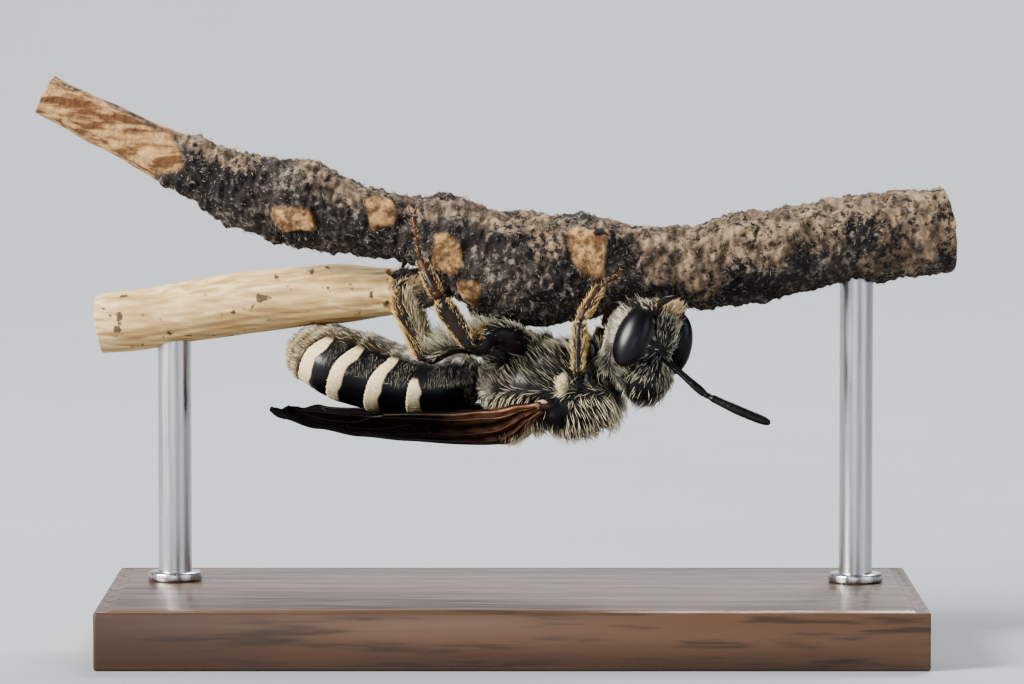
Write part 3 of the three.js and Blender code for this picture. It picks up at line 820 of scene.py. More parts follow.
def skull_density(p, n):
    f, l, d = p.T
    sides = np.abs(l)
    on_eye = bump_at(f, 0.25, 0.5) * bump_at(d, -0.24, 1.0) * smooth_step((sides - 1.25) / 0.2)
    crown = smooth_step((d - 0.95) / 0.3) * smooth_step((f + 0.05) / 0.25) * (1 - 0.3 * smooth_step((0.35 - sides) / 0.2))
    neck = smooth_step((-0.55 - f) / 0.15) * bump_at(d, -0.3, 0.5) * bump_at(sides, 0, 0.7)
    cheek = smooth_step((0.1 - f) / 0.3) * smooth_step((sides - 0.9) / 0.3)
    lip = smooth_step((-0.95 - d) / 0.3) * smooth_step((f - 0.1) / 0.3)
    beard = smooth_step((-1.0 - d) / 0.2) * smooth_step((0.1 - f) / 0.2)
    return (1 - on_eye) * (1 - 0.92 * crown) * (1 - neck) * (1 - 0.6 * beard) * (1 + 1.3 * cheek * (1 - beard) + 1.4 * lip)


def gena(p):
    """The bright cheek behind each eye."""
    f, l, d = p.T
    return smooth_step((0.15 - f) / 0.25) * smooth_step((np.abs(l) - 0.75) / 0.4) * np.clip(1.5 * bump_at(d, -0.2, 0.5), 0, 1)


def groom_head(p, n, rng):
    f, l, d = p.T
    side = np.where(l > 0, 1.0, -1.0)
    socket = np.column_stack([np.full_like(l, SOCKET[0]), SOCKET[1] * side, np.full_like(l, SOCKET[2])])
    face = smooth_step((f - 0.1) / 0.3)[:, None]
    radiate = unit((p - socket + np.array([0, 0, 0.3])) * (0.4, 1, 1))
    nape = smooth_step((d - 0.15) / 0.3)[:, None] * (1 - face)
    backward = unit(np.column_stack([-np.ones_like(l), 0.15 * side, -0.5 * np.ones_like(l)]))
    forward = np.array([0.9, 0, 0.5])
    lip = smooth_step((-0.95 - d) / 0.3) * smooth_step((f - 0.2) / 0.3) * smooth_step((0.75 - np.abs(l)) / 0.25)
    lie = radiate * face + (backward * (1 - nape) + forward * nape) * (1 - face)
    back = smooth_step((-0.25 - f) / 0.3) * smooth_step((d + 0.1) / 0.3)
    lie = lie * (1 - back[:, None]) + back[:, None] * np.array([-0.7, 0, 0.8])
    lie = lie * (1 - lip[:, None]) + lip[:, None] * np.array([0.3, 0, -1.0])
    bright = gena(p)
    crown = smooth_step((d - 1.0) / 0.4)
    beard = smooth_step((-0.95 - d) / 0.3) * (1 - lip) * (1 - face[:, 0])
    occiput = smooth_step((-0.3 - f) / 0.3) * smooth_step((d - 0.2) / 0.4)
    malar = smooth_step((-0.9 - d) / 0.25) * smooth_step((np.abs(l) - 0.45) / 0.25)
    dark = np.maximum(beard, malar * (1 - lip))
    guard = guard_hairs(rng, 0.36 + 0.5 * bright - 0.28 * dark + 0.15 * lip)
    fine = rng.random(len(l))
    return {
        "lie": lie, "lift": 0.36 + 0.1 * crown + 0.3 * beard + 0.25 * occiput, "wild": 0.1, "draw": 0.36,
        "length": (0.32 + 0.14 * lip + 0.06 * bright + 0.1 * crown + 0.2 * beard + 0.4 * occiput) * (0.55 + 0.45 * guard),
        "width": 0.017 + 0.011 * guard,
        "pale": np.clip(0.05 + 0.12 * fine + guard * (0.5 + 0.35 * fine + 0.3 * lip) + 0.9 * bright - 0.1 * dark, 0, 1),
        "gold": 0.55 * guard * smooth_step((-1.05 - d) / 0.25) * smooth_step((f - 0.2) / 0.3),
    }


mark(head, "bloom", gena(points_of(head)))
dress(head, SHELL)
head_coat = coat("head_coat", [head], 8600, skull_density, groom_head, unwrap_about(2, -1.9, 2.0), 1)
dress(head_coat, COAT)

settle(eye("left_eye", 1), HEAD, "eye", "eye_left")
settle(eye("right_eye", -1), HEAD, "eye", "eye_right")
settle(mandible("left_mandible", 1), HEAD, "black_shell", "mandible_left")
settle(mandible("right_mandible", -1), HEAD, "black_shell", "mandible_right")
for side_name, stations in ANTENNAE.items():
    settle(antenna(f"{side_name}_antenna", stations), HEAD, "black_shell",
           f"antenna_{side_name}_scape", f"antenna_{side_name}_flagellum")
ocelli = []
for place in ((0.5, 0, 1.22), (0.36, 0.34, 1.42), (0.36, -0.34, 1.42)):
    _, spot, facing, _ = head.closest_point_on_mesh(place)
    ocelli.append(ball(spot, (0.1, 0.1, 0.1)))
ocelli = join(ocelli, "ocelli")
dress(ocelli, EYE)
settle(ocelli, HEAD, "eye")
settle(head, HEAD, "black_shell", "head")
settle(head_coat, HEAD, "body_hair")

# ---------------------------------------------------------------- thorax

thorax = fuse("thorax_skin", [
    ball((0.1, 0, 0), (1.95, 1.55, 1.5)),
    ball((0.95, 0, 0.55), (1.45, 1.42, 1.14)),
    ball((-1.1, 0, 1.08), (0.7, 0.9, 0.56)),
    ball((-1.6, 0, 0.55), (0.4, 0.75, 0.5)),
    ball((-1.75, 0, -0.1), (0.6, 1.15, 0.95)),
    ball((1.75, 0, -0.15), (0.5, 1.15, 1.0)),
    ball((1.98, 0, 0.45), (0.66, 1.12, 0.88)),
    ball((2.4, 0, 0.1), (0.36, 0.8, 0.55)),
    ball((0.98, 1.42, -0.32), (0.26, 0.22, 0.24)),
    ball((0.98, -1.42, -0.32), (0.26, 0.22, 0.24)),
    ball((0.5, 0.9, -0.7), (1.05, 0.72, 0.85)),
    ball((0.5, -0.9, -0.7), (1.05, 0.72, 0.85)),
    ball((1.6, 0.45, -1.3), (0.42, 0.36, 0.45)),
    ball((1.55, -0.45, -1.25), (0.42, 0.36, 0.45)),
    ball((-0.3, 0.95, -1.4), (0.52, 0.5, 0.42)),
    ball((-0.3, -0.75, -1.35), (0.5, 0.45, 0.42)),
    ball((-1.45, 1.0, -1.3), (0.55, 0.5, 0.55)),
    ball((-1.55, -0.8, -1.15), (0.55, 0.48, 0.5)),
    ball((2.35, 0.02, -0.75), (0.7, 0.5, 0.55), (0, 30, 0)),
    ball((-2.25, 0, -0.25), (0.35, 0.4, 0.35)),
], 0.05, 8)


def tegula(name, side):
    piece = ball((0.42, 1.7 * side, 0.46), (0.32, 0.12, 0.2), (side * -18, 0, 0))
    piece.name = name
    mark(piece, "rust", np.full(len(piece.data.vertices), 0.1))
    only(piece)
    bpy.ops.object.shade_smooth()
    dress(piece, LEG)
    return piece


def hip_zone(p):
    """The bare hips of the middle and hind legs."""
    a, b, c = p.T
    return bump_at(a, -1.35, 0.75) * smooth_step((-0.95 - c) / 0.25) * smooth_step((np.abs(b) - 0.35) / 0.25)


def lobe_zone(p):
    """The felted lobe over the first breathing hole."""
    a, b, c = p.T
    away = np.hypot((a - 0.98 + 0.12 * (c + 0.24)) / 0.2, (c + 0.24) / 0.38)
    return smooth_step((1.15 - away) / 0.3) * smooth_step((np.abs(b) - 1.1) / 0.2)


def thorax_density(p, n):
    a, b, c = p.T
    sides = np.abs(b)
    bare = smooth_step((a + 0.35) / 0.3) * smooth_step((1.3 - a) / 0.3) * smooth_step((c - 0.08) / 0.2)
    bare = bare * smooth_step((1.3 - c) / 0.2) * smooth_step((sides - 0.95) / 0.25)
    groove = bump_at(a, 1.75, 0.55) * bump_at(c, -0.32, 0.26) * smooth_step((sides - 0.8) / 0.2)
    thin = bump_at(a, 0.3, 0.7) * smooth_step((c - 0.9) / 0.3)
    seam = smooth_step((a - 2.45) / 0.3) * smooth_step((-0.1 - c) / 0.3)
    waist = smooth_step((-2.1 - a) / 0.2)
    scutellum = bump_at(a, -1.1, 0.6) * smooth_step((c - 0.8) / 0.3)
    rear = smooth_step((-1.3 - a) / 0.3)
    density = (1 - 0.97 * bare) * (1 - 0.6 * thin) * (1 - seam) * (1 - waist) * (1 - 0.93 * hip_zone(p)) * (1 - 0.9 * groove)
    return density * (1 + 1.6 * scutellum + 0.8 * rear) + 5.0 * lobe_zone(p)


def frosting(p):
    """How pale the skin is under its closest hair: the rear face, the scutellum and the lobes."""
    a, b, c = p.T
    rear = smooth_step((-1.35 - a) / 0.3) * smooth_step((c + 0.9) / 0.5)
    scutellum = bump_at(a, -1.1, 0.5) * smooth_step((c - 0.9) / 0.3)
    return np.clip(0.25 * rear + 0.2 * scutellum + lobe_zone(p), 0, 1)


def groom_thorax(p, n, rng):
    a, b, c = p.T
    side = np.where(b > 0, 1.0, -1.0)
    rear = smooth_step((-1.3 - a) / 0.4)
    above = smooth_step((c + 0.3) / 0.8)
    ahead = above * smooth_step((a - 0.7) / 1.4)
    scutellum = bump_at(a, -1.1, 0.6) * smooth_step((c - 0.8) / 0.3)
    below = smooth_step((-1.0 - c) / 0.4)
    lobe = lobe_zone(p)
    lie = np.column_stack([-0.62 + 0.55 * above * (1 - rear) + 0.7 * ahead, 0.1 * side, -0.75 + 1.75 * above])
    front = smooth_step((a - 1.9) / 0.4) * smooth_step((c + 0.2) / 0.3)
    guard = guard_hairs(rng, 0.21 + 0.16 * above + 0.5 * scutellum + 0.12 * rear + 0.12 * below + lobe)
    fine = rng.random(len(a))
    return {
        "lie": lie, "lift": 0.42 + 0.12 * above + 0.12 * scutellum - 0.12 * rear - 0.35 * lobe, "stand": 0.5,
        "wild": 0.09, "draw": 0.3 - 0.25 * lobe,
        "length": (0.52 + 0.1 * scutellum - 0.2 * rear + 0.16 * front) * (0.5 + 0.5 * guard) * (1 - 0.62 * lobe),
        "width": 0.017 + 0.012 * guard,
        "pale": 0.06 + 0.12 * fine + guard * (0.34 + 0.3 * fine + 0.26 * above + 0.2 * scutellum) + 0.08 * rear + 0.5 * lobe,
        "gold": (0.10 * above * (1 - rear) + 0.05) * guard + 0.3 * lobe,
    }


mark(thorax, "bloom", frosting(points_of(thorax)))
dress(thorax, SHELL)
thorax_coats = [
    coat(f"thorax_coat_{part}", [thorax], 6200, thorax_density, groom_thorax, unwrap_about(0, -2.5, 2.9), 2 + i)
    for i, part in enumerate(("under", "over"))
]
for piece in thorax_coats:
    dress(piece, COAT)

# ---------------------------------------------------------------- abdomen

ABDOMEN = Course(ABDOMEN_AXIS)


def read_mark(piece, name):
    values = np.empty(len(piece.data.vertices), dtype=np.float32)
    piece.data.attributes[name].data.foreach_get("value", values)
    return values


def felt_share(t, angle):
    """Whether each place on the abdomen (its own length, turn from the belly) lies in an ivory band."""
    upper = -np.cos(angle)
    share = np.zeros_like(t)
    for i, end in enumerate(SEGMENT_ENDS[1:5]):
        ragged = 0.0025 * np.sin(angle * 37 + i * 2) * np.cos(angle * 23) + 0.004 * np.sin(angle * 7 + i)
        flank = smooth_step((upper + 0.80) / 0.15)
        width = BAND * np.clip(0.6 + 1.2 * (upper + 0.8), 0.6, 1)
        if i == 0:
            flank = smooth_step((np.abs(np.sin(angle)) - 0.45) / 0.15) * smooth_step((upper + 0.34) / 0.14)
            width = BAND * 0.95 * np.clip(0.5 + 1.1 * (upper + 0.34), 0.5, 1)
        share = np.maximum(share, smooth_step((t - end + width + ragged) / 0.006) * (t <= end + 0.002) * flank)
    return share


def lean_of_ring(t, angle):
    return along(SLANT, t) * np.cos(angle) + along(SWEEP, t) * (np.clip(np.cos(angle), 0, 1) ** 2
                                                                * np.clip(1.9 - 1.3 * np.cos(angle), 0, 1))


def segment(number):
    """One ring of the abdomen, which laps over the next."""
    start, end = SEGMENT_ENDS[number - 1], SEGMENT_ENDS[number]
    first, last = number == 1, number == 6
    front = start if first else start - 0.03
    back = 0.97 if last else end
    height = lambda t: along(ABDOMEN_HEIGHT, t)

    def place(angle, t):
        at = front + (back - front) * np.clip(t / 0.9, 0, 1)
        across = np.clip((at - start) / (end - start), 0, 1)
        bulge = 0.955 + 0.05 * np.sin(math.pi * (0.12 + 0.6 * across)) + 0.012 * smooth_step((across - 0.6) / 0.2)
        if not first:
            bulge = bulge - 0.08 * smooth_step((0.12 - t) / 0.12)
        radius = height(at) * bulge
        if not last:
            radius = radius * (1 - 0.07 * smooth_step((t - 0.9) / 0.03) - 0.93 * smooth_step((t - 0.94) / 0.06))
            at = at - 0.012 * smooth_step((t - 0.92) / 0.08)
        if not first:
            radius = radius * smooth_step(t / 0.05)
        shoulder = 0.12 * np.clip((0.75 - at) / 0.2, 0, 1) * np.clip(-np.cos(angle), 0, 1) * np.sin(angle) ** 2
        slanted = np.clip(at - lean_of_ring(at, angle), 0, 1)
        return around(ABDOMEN, slanted, angle, radius * (1 - shoulder), wide=ABDOMEN_SPREAD)

    piece = sleeve(f"abdomen_ring_{number}", place, 132, 60)
    t, angle = read_mark(piece, "course"), read_mark(piece, "angle")
    at = front + (back - front) * t / 0.9
    mark(piece, "felt", felt_share(at, angle) * (t < 0.93) * (number < 5))
    mark(piece, "belly", np.maximum(smooth_step((np.cos(angle) - 0.74) / 0.12), number >= 5))
    dress(piece, BANDED)
    return piece


rings = [segment(number) for number in range(1, 7)]


def ring_place(p):
    """Station along the abdomen (0 to 1) and turn round it (0 at the belly) of some points."""
    t = ABDOMEN.t[np.argmin(np.linalg.norm(p[:, None, :] - ABDOMEN.line[None, ::4, :], axis=2), axis=1) * 4]
    centre, ahead = ABDOMEN.at(t), ABDOMEN.ahead(t)
    side = unit(np.cross(np.array([0, 0, 1.0]), ahead))
    rise = np.cross(side, ahead)
    offset = p - centre
    angle = np.arctan2((offset * side).sum(axis=1) / ABDOMEN_SPREAD, (offset * rise).sum(axis=1))
    return t + lean_of_ring(t, angle), angle


def unwrap_abdomen(p):
    t, angle = ring_place(p)
    return np.column_stack([angle / math.tau + 0.5, t])


def felt_density(p, n):
    return felt_share(*ring_place(p))


def groom_felt(p, n, rng):
    t, angle = ring_place(p)
    edge = sum(smooth_step((t - end + 0.016) / 0.014) * (t < end + 0.01) for end in SEGMENT_ENDS[1:5])
    return {
        "lie": ABDOMEN.ahead(np.clip(t, 0, 1)), "lift": 0.1, "stand": 0.2, "wild": 0.06, "length": 0.15 - 0.085 * edge,
        "width": 0.03, "draw": 0.15, "pale": rng.random(len(t)),
    }


def comb_zone(t, angle):
    """Fields of fine combed hair at the front of each disc, below the bare polished back."""
    upper = -np.cos(angle)
    reach = sum(smooth_step((t - start - 0.012) / 0.02) * smooth_step((end - 0.05 - t) / 0.03)
                for start, end in zip(SEGMENT_ENDS[:4], SEGMENT_ENDS[1:5]))
    return reach * smooth_step((upper + 0.78) / 0.1) * smooth_step((-0.02 - upper) / 0.2)


def abdomen_density(p, n):
    t, angle = ring_place(p)
    upper = -np.cos(angle)
    under = smooth_step((-0.74 - upper) / 0.1)
    fringe = sum(bump_at(t, end - 0.01, 0.025) for end in SEGMENT_ENDS[1:6])
    front = smooth_step((0.08 - t) / 0.05)
    tail = smooth_step((t - 0.832) / 0.012)
    bands = felt_share(t, angle)
    disc = 0.5 * under * (0.6 + fringe) + 2.0 * comb_zone(t, angle) + 0.5 * front
    return (0.01 + disc) * (1 - bands) * (1 - tail) + 2.2 * tail


def groom_abdomen(p, n, rng):
    t, angle = ring_place(p)
    upper = -np.cos(angle)
    under = smooth_step((-0.66 - upper) / 0.12)
    comb = comb_zone(t, angle)
    front = smooth_step((0.08 - t) / 0.05)
    tail = smooth_step((t - 0.832) / 0.012)
    lie = ABDOMEN.ahead(np.clip(t, 0, 1)) * (1 - 0.8 * comb)[:, None] + np.outer(comb, (0.15, 0, 1.0))
    guard = guard_hairs(rng, 0.4 + 0.3 * under + 0.2 * front - 0.2 * comb)
    fine = rng.random(len(t))
    return {
        "lie": lie, "lift": 0.14 + 0.2 * front + 0.22 * tail + 0.2 * under, "wild": 0.09 - 0.05 * comb, "draw": 0.4 - 0.3 * comb,
        "length": (0.2 + 0.06 * under + 0.13 * comb + 0.1 * front + 0.04 * tail) * (0.7 + 0.3 * guard),
        "width": 0.015 + 0.006 * guard + 0.006 * tail,
        "pale": 0.05 + 0.1 * fine + guard * (0.26 + 0.08 * under - 0.15 * comb) + 0.05 * under + 0.04 * tail,
        "gold": tail * (0.14 + 0.16 * fine),
    }


felt_coat = coat("band_felt", rings[:4], 16000, felt_density, groom_felt, unwrap_abdomen, 5, (0.0, 0.6))
abdomen_coat = coat("abdomen_coat", rings, 13200, abdomen_density, groom_abdomen, unwrap_abdomen, 6)
dress(felt_coat, FELT)
dress(abdomen_coat, COAT)
for number, piece in enumerate(rings, 1):
    settle(piece, BEE, "banded_shell", f"abdomen_segment_{number}")
settle(felt_coat, BEE, "body_hair")
settle(abdomen_coat, BEE, "body_hair")

# ---------------------------------------------------------------- wings

FORE_OUTLINE = {
    "root": 0.3, "tip": -9.7,
    "outer": [(0, 1.86), (0.12, 2.16), (0.4, 2.34), (0.7, 2.05), (0.88, 1.6), (0.95, 1.3), (0.98, 1.08), (0.993, 0.88), (1, 0.66)],
    "inner": [(0, 1.5), (0.06, 1.1), (0.12, 0.62), (0.18, 0.2), (0.26, 0.0), (0.94, 0.0), (0.97, 0.05), (0.985, 0.15),
              (0.995, 0.34), (1, 0.62)],
}
HIND_OUTLINE = {
    "root": 0.0, "tip": -6.65,
    "outer": [(0, 1.65), (0.15, 1.9), (0.5, 1.86), (0.85, 1.46), (1, 0.95)],
    "inner": [(0, 1.35), (0.12, 0.95), (0.26, 0.15), (0.4, 0.05), (0.88, 0.28), (1, 0.9)],
}
# Each vein is a run of (span, chord) places, from its start to its end, with its thickness.
FORE_VEINS = [
    (0.11, [(0.0, 0.95), (0.2, 0.97), (0.4, 0.975), (0.56, 0.97)]),
    (0.075, [(0.0, 0.75), (0.15, 0.86), (0.35, 0.9), (0.5, 0.92), (0.58, 0.93)]),
    (0.10, [(0.55, 0.955), (0.59, 0.94), (0.63, 0.96)]),
    (0.055, [(0.62, 0.97), (0.72, 0.975), (0.82, 0.97), (0.89, 0.96)]),
    (0.05, [(0.6, 0.92), (0.68, 0.8), (0.78, 0.78), (0.84, 0.85), (0.88, 0.95)]),
    (0.06, [(0.0, 0.6), (0.12, 0.62), (0.26, 0.6), (0.4, 0.6), (0.55, 0.52)]),
    (0.05, [(0.4, 0.6), (0.41, 0.72), (0.45, 0.84), (0.52, 0.92)]),
    (0.045, [(0.45, 0.8), (0.54, 0.7), (0.64, 0.64), (0.76, 0.64), (0.82, 0.68)]),
    (0.04, [(0.6, 0.67), (0.62, 0.76), (0.64, 0.86)]),
    (0.04, [(0.7, 0.64), (0.7, 0.72), (0.72, 0.79)]),
    (0.04, [(0.79, 0.66), (0.81, 0.73), (0.8, 0.79)]),
    (0.04, [(0.55, 0.52), (0.62, 0.47), (0.72, 0.46), (0.78, 0.5), (0.79, 0.6), (0.77, 0.64)]),
    (0.04, [(0.62, 0.47), (0.65, 0.55), (0.65, 0.64)]),
    (0.05, [(0.0, 0.35), (0.15, 0.32), (0.3, 0.24), (0.45, 0.2), (0.58, 0.28), (0.62, 0.46)]),
    (0.04, [(0.02, 0.15), (0.12, 0.14), (0.24, 0.08)]),
]
HIND_VEINS = [
    (0.07, [(0.0, 0.9), (0.25, 0.95), (0.5, 0.96), (0.75, 0.96)]),
    (0.05, [(0.0, 0.6), (0.25, 0.62), (0.45, 0.66), (0.7, 0.7)]),
    (0.04, [(0.45, 0.66), (0.5, 0.8), (0.52, 0.95)]),
    (0.04, [(0.0, 0.3), (0.25, 0.32), (0.45, 0.4), (0.6, 0.45)]),
]


def roof(x, y):
    outward = np.clip(np.abs(y) / along(ROOF_HALF, x), 0, 1.1)
    return along(RIDGE, x) + (along(EAVES, x) - along(RIDGE, x)) * outward ** 2


def pleat(span, chord):
    """Fan of folds that runs back from the hinge and fades out, -1 in the grooves to 1 on the ribs."""
    return (0.7 * np.sin(chord * 22 + 0.6) + 0.3 * np.sin(chord * 41)) * np.clip(1 - span / 0.6, 0, 1) ** 0.7


def wing_place(outline, side, drop, span, chord):
    """Points of a folded wing."""
    x = outline["root"] + (outline["tip"] - outline["root"]) * span
    inner, outer = along(outline["inner"], span), along(outline["outer"], span)
    y = inner + (outer - inner) * chord
    lift = 0.055 * pleat(span, chord) + 0.012 * np.sin(chord * 9 + span * 6)
    lift = lift + 0.09 * y * (side < 0) * smooth_step((-4.0 - x) / 4)
    return np.column_stack([x, side * y, roof(x, y) - drop + lift])


def wing(name, outline, veins, side, drop):
    bpy.ops.object.select_all(action="DESELECT")
    bpy.ops.mesh.primitive_grid_add(x_subdivisions=110, y_subdivisions=56, size=1)
    sheet = bpy.context.active_object
    flat = points_of(sheet)
    span, chord = flat[:, 0] + 0.5, flat[:, 1] + 0.5
    mark(sheet, "span", span)
    # fold marks the pleat grooves, where the membrane gets painted shade
    mark(sheet, "fold", smooth_step(0.5 - pleat(span, chord)))
    move_points(sheet, wing_place(outline, side, drop, span, chord))
    edit(sheet, lambda: bpy.ops.mesh.remove_doubles(threshold=1e-4))
    modify(sheet, "SOLIDIFY", thickness=0.03, offset=0.0)
    dress(sheet, WING)
    pieces = [sheet]
    for thickness, stations in veins:
        run = Course([(s, c, 0) for s, c in stations])
        fine = run.at(np.linspace(0, 1, 14))
        line = wing_place(outline, side, drop, fine[:, 0], fine[:, 1])
        vein = limb("vein", line, [(0, thickness / 2), (1, thickness * 0.36)], 8, 40)
        mark(vein, "span", fine[0, 0] + (fine[-1, 0] - fine[0, 0]) * read_mark(vein, "course"))
        dress(vein, VEIN)
        pieces.append(vein)
    if outline is FORE_OUTLINE:
        pieces += [hinge_plate(points, side) for points in HINGE_PLATES]
    made = join(pieces, name)
    bpy.ops.object.shade_smooth()
    return made


# Small horny plates at the wing's root, each a run of points on the left side.
HINGE_PLATES = [
    [(0.12, 1.7, 0.4), (0.34, 1.8, 0.36), (0.6, 1.72, 0.42)],
    [(0.05, 1.66, 0.53), (0.2, 1.74, 0.55), (0.34, 1.74, 0.58)],
    [(0.0, 1.72, 0.5), (0.16, 1.84, 0.47), (0.3, 1.82, 0.5)],
]


def hinge_plate(points, side):
    plate = limb("plate", [(x, y * side, z) for x, y, z in points], [(0, 0.05), (0.5, 0.075), (1, 0.02)], 8, 14)
    mark(plate, "horn", np.full(len(plate.data.vertices), 0.85))
    dress(plate, VEIN)
    return plate


for side_name, side in (("left", 1), ("right", -1)):
    lap = 0.02 * side
    fore = wing(f"{side_name}_forewing", FORE_OUTLINE, FORE_VEINS, side, 0.05 + lap)
    hind = wing(f"{side_name}_hindwing", HIND_OUTLINE, HIND_VEINS, side, 0.26 + lap)
    settle(fore, BEE, "wing_membrane", f"forewing_{side_name}")
    settle(hind, BEE, "wing_membrane", f"hindwing_{side_name}")
    settle(tegula(f"{side_name}_tegula", side), BEE, "black_shell", f"tegula_{side_name}")

settle(thorax, BEE, "black_shell", "thorax", "neck")
for piece in thorax_coats:
    settle(piece, BEE, "body_hair")

# ---------------------------------------------------------------- legs

# Thigh, shin and foot radii, and how gold the hair of the shin is.
LEG_SIZES = {"fore": (0.3, 0.21, 0.17, 0.8), "middle": (0.5, 0.34, 0.24, 0.75), "hind": (0.38, 0.31, 0.22, 0.95)}


def leg(name, stations):
    """Thigh, shin, long foot joint, four short foot joints and two hooked claws."""
    hip, middle, knee, ankle, joint, end = [np.array(p, float) for p in stations]
    thigh, shin, foot, _ = LEG_SIZES[name.split("_")[1]]
    turn = (1, 0, 0.1)
    pieces = [
        limb("thigh", [hip, middle, knee], [(0, thigh * 0.8), (0.4, thigh), (0.8, thigh * 0.7), (1, thigh * 0.5)]),
        limb("shin", [knee, ankle], [(0, shin * 0.55), (0.15, shin * 0.75), (0.75, shin), (1, shin * 0.85)], up=turn),
        limb("long_joint", [ankle, joint], [(0, foot * 0.75), (0.3, foot), (1, foot * 0.8)], 16, 18, turn),
    ]
    toes = Course([joint, (joint + end) / 2 + unit(joint - ankle) * 0.08, end])
    cuts = [0, 0.26, 0.48, 0.66, 0.95]
    for low, high in zip(cuts, cuts[1:]):
        start, stop = toes.at(np.array([low, high]))
        pieces.append(limb("short_joint", [start, stop], [(0, 0.05), (0.8, 0.095), (1, 0.08)], 12, 10, turn))
    ahead = toes.ahead(np.array([1.0]))[0]
    across = unit(np.cross(ahead, (0.2, 1, 0.1)))
    for lean in (1, -1):
        out = across * lean
        hook = [end - ahead * 0.05 + out * 0.02, end + ahead * 0.12 + out * 0.12,
                end + ahead * 0.2 + out * 0.12 + np.array([0, 0, -0.08]),
                end + ahead * 0.18 + out * 0.1 + np.array([0, 0, -0.2])]
        pieces.append(limb("claw", hook, [(0, 0.04), (0.5, 0.03), (1, 0.008)], 8, 16, turn))
    for piece in pieces:
        rust = {"thigh": 0.0, "shin": 0.02, "long": 0.25}.get(piece.name.split("_")[0].split(".")[0], 0.9)
        mark(piece, "rust", np.full(len(piece.data.vertices), rust))
    made = join(pieces, name)
    dress(made, LEG)
    return made


def groom_leg(name, stations):
    """How a leg's hair grows: sparse on the thigh, gold brushes on the shin and foot."""
    line = Course(stations)
    coarse = line.line[::4]
    knee, ankle, joint = (line.nearest(stations[i]) for i in (2, 3, 4))
    hind, middle = name.startswith("hind"), name.startswith("middle")
    gold = LEG_SIZES[name.split("_")[0]][3]

    def place(p):
        return line.t[np.argmin(np.linalg.norm(p[:, None, :] - coarse[None], axis=2), axis=1) * 4]

    def regions(p, n):
        t = place(p)
        thigh = smooth_step((knee - 0.03 - t) / 0.03)
        shin = smooth_step((t - knee) / 0.03) * smooth_step((ankle + 0.02 - t) / 0.04)
        long_joint = smooth_step((t - ankle) / 0.03) * smooth_step((joint - t) / 0.03)
        brush = thigh * (smooth_step((0.45 - n[:, 2]) / 0.5) if hind else 0.6 * middle * smooth_step((-0.25 - n[:, 2]) / 0.4))
        edges = smooth_step((np.abs(n[:, 0]) - 0.25) / 0.5)
        return t, thigh, shin, long_joint, brush, edges

    def density(p, n):
        t, thigh, shin, long_joint, brush, edges = regions(p, n)
        bare = 0.3 if hind else 0.06
        toes = smooth_step((t - joint) / 0.02)
        return 0.08 + 1.5 * brush + (shin + long_joint) * (bare + (1.35 - bare) * edges) + 0.2 * toes

    def groom(p, n, rng):
        t, thigh, shin, long_joint, brush, edges = regions(p, n)
        full = 0.33 + 0.2 * smooth_step(n[:, 0] / 0.5) if hind else 0.21 if middle else 0.29
        guard = guard_hairs(rng, 0.15 + 0.34 * edges + (0.25 if hind else 0.0) + 0.2 * brush)
        inner = hind * (0.75 * smooth_step((n[:, 0] + 0.1) / 0.3) * shin + 0.5 * long_joint)
        fine = rng.random(len(t))
        orange = middle * smooth_step(brush * 3) * smooth_step((-1.3 - p[:, 0]) / 0.25)
        return {
            "lie": line.ahead(t) * (1 - 0.7 * brush)[:, None] + np.outer(brush, (-0.2, 0, -0.6)),
            "lift": 0.22 + 0.26 * edges + 0.32 * brush, "wild": 0.17, "draw": 0.15,
            "length": (0.12 + (full - 0.12) * np.maximum(shin, long_joint * 0.9) * (0.5 + 0.5 * edges)
                       + (0.85 if hind else 0.3) * brush) * (0.65 + 0.35 * guard),
            "width": 0.016 + 0.01 * guard,
            "pale": 0.06 + 0.1 * fine + guard * (0.25 + 0.3 * fine + 0.4 * brush * (not hind)) + 0.12 * brush * hind,
            "gold": np.maximum(0.9 * orange, guard * np.clip(gold * (0.1 + 0.9 * np.maximum(shin, np.maximum(long_joint, smooth_step((t - joint) / 0.02))))
                                    * (1 - 0.75 * brush) * (1 - inner), 0, 1)),
        }

    unwrap = lambda p: np.column_stack([
        np.arctan2(p[:, 1] - line.at(place(p))[:, 1], p[:, 2] - line.at(place(p))[:, 2]) / math.tau + 0.5, place(p)])
    return density, groom, unwrap


for number, (name, stations) in enumerate(LEGS.items()):
    made = leg(f"leg_{name}", stations)
    density, groom, unwrap = groom_leg(name, stations)
    strands = 4400 if name.startswith("hind") else 2400
    hair = coat(f"leg_{name}_coat", [made], strands, density, groom, unwrap, 10 + number)
    dress(hair, COAT)
    settle(made, BEE, "leg_hair", *(f"leg_{name}_{part}" for part in ("femur", "tibia", "tarsus")))
    settle(hair, BEE, "leg_hair")

# ---------------------------------------------------------------- perch


def stem_course(stations):
    course = Course([p[:3] for p in stations])
    radii = [(course.nearest(p[:3]), p[3]) for p in stations]
    radii[0], radii[-1] = (0, radii[0][1]), (1, radii[-1][1])
    return course, radii


def ripple(points, scale, seed):
    """Smooth random waves over points, about -1 to 1."""
    rng = np.random.default_rng(seed)
    waves = rng.normal(0, 1, (24, 3)) * scale
    phases = rng.uniform(0, math.tau, 24)
    return np.sin(points @ waves.T + phases).sum(axis=1) / 4.9


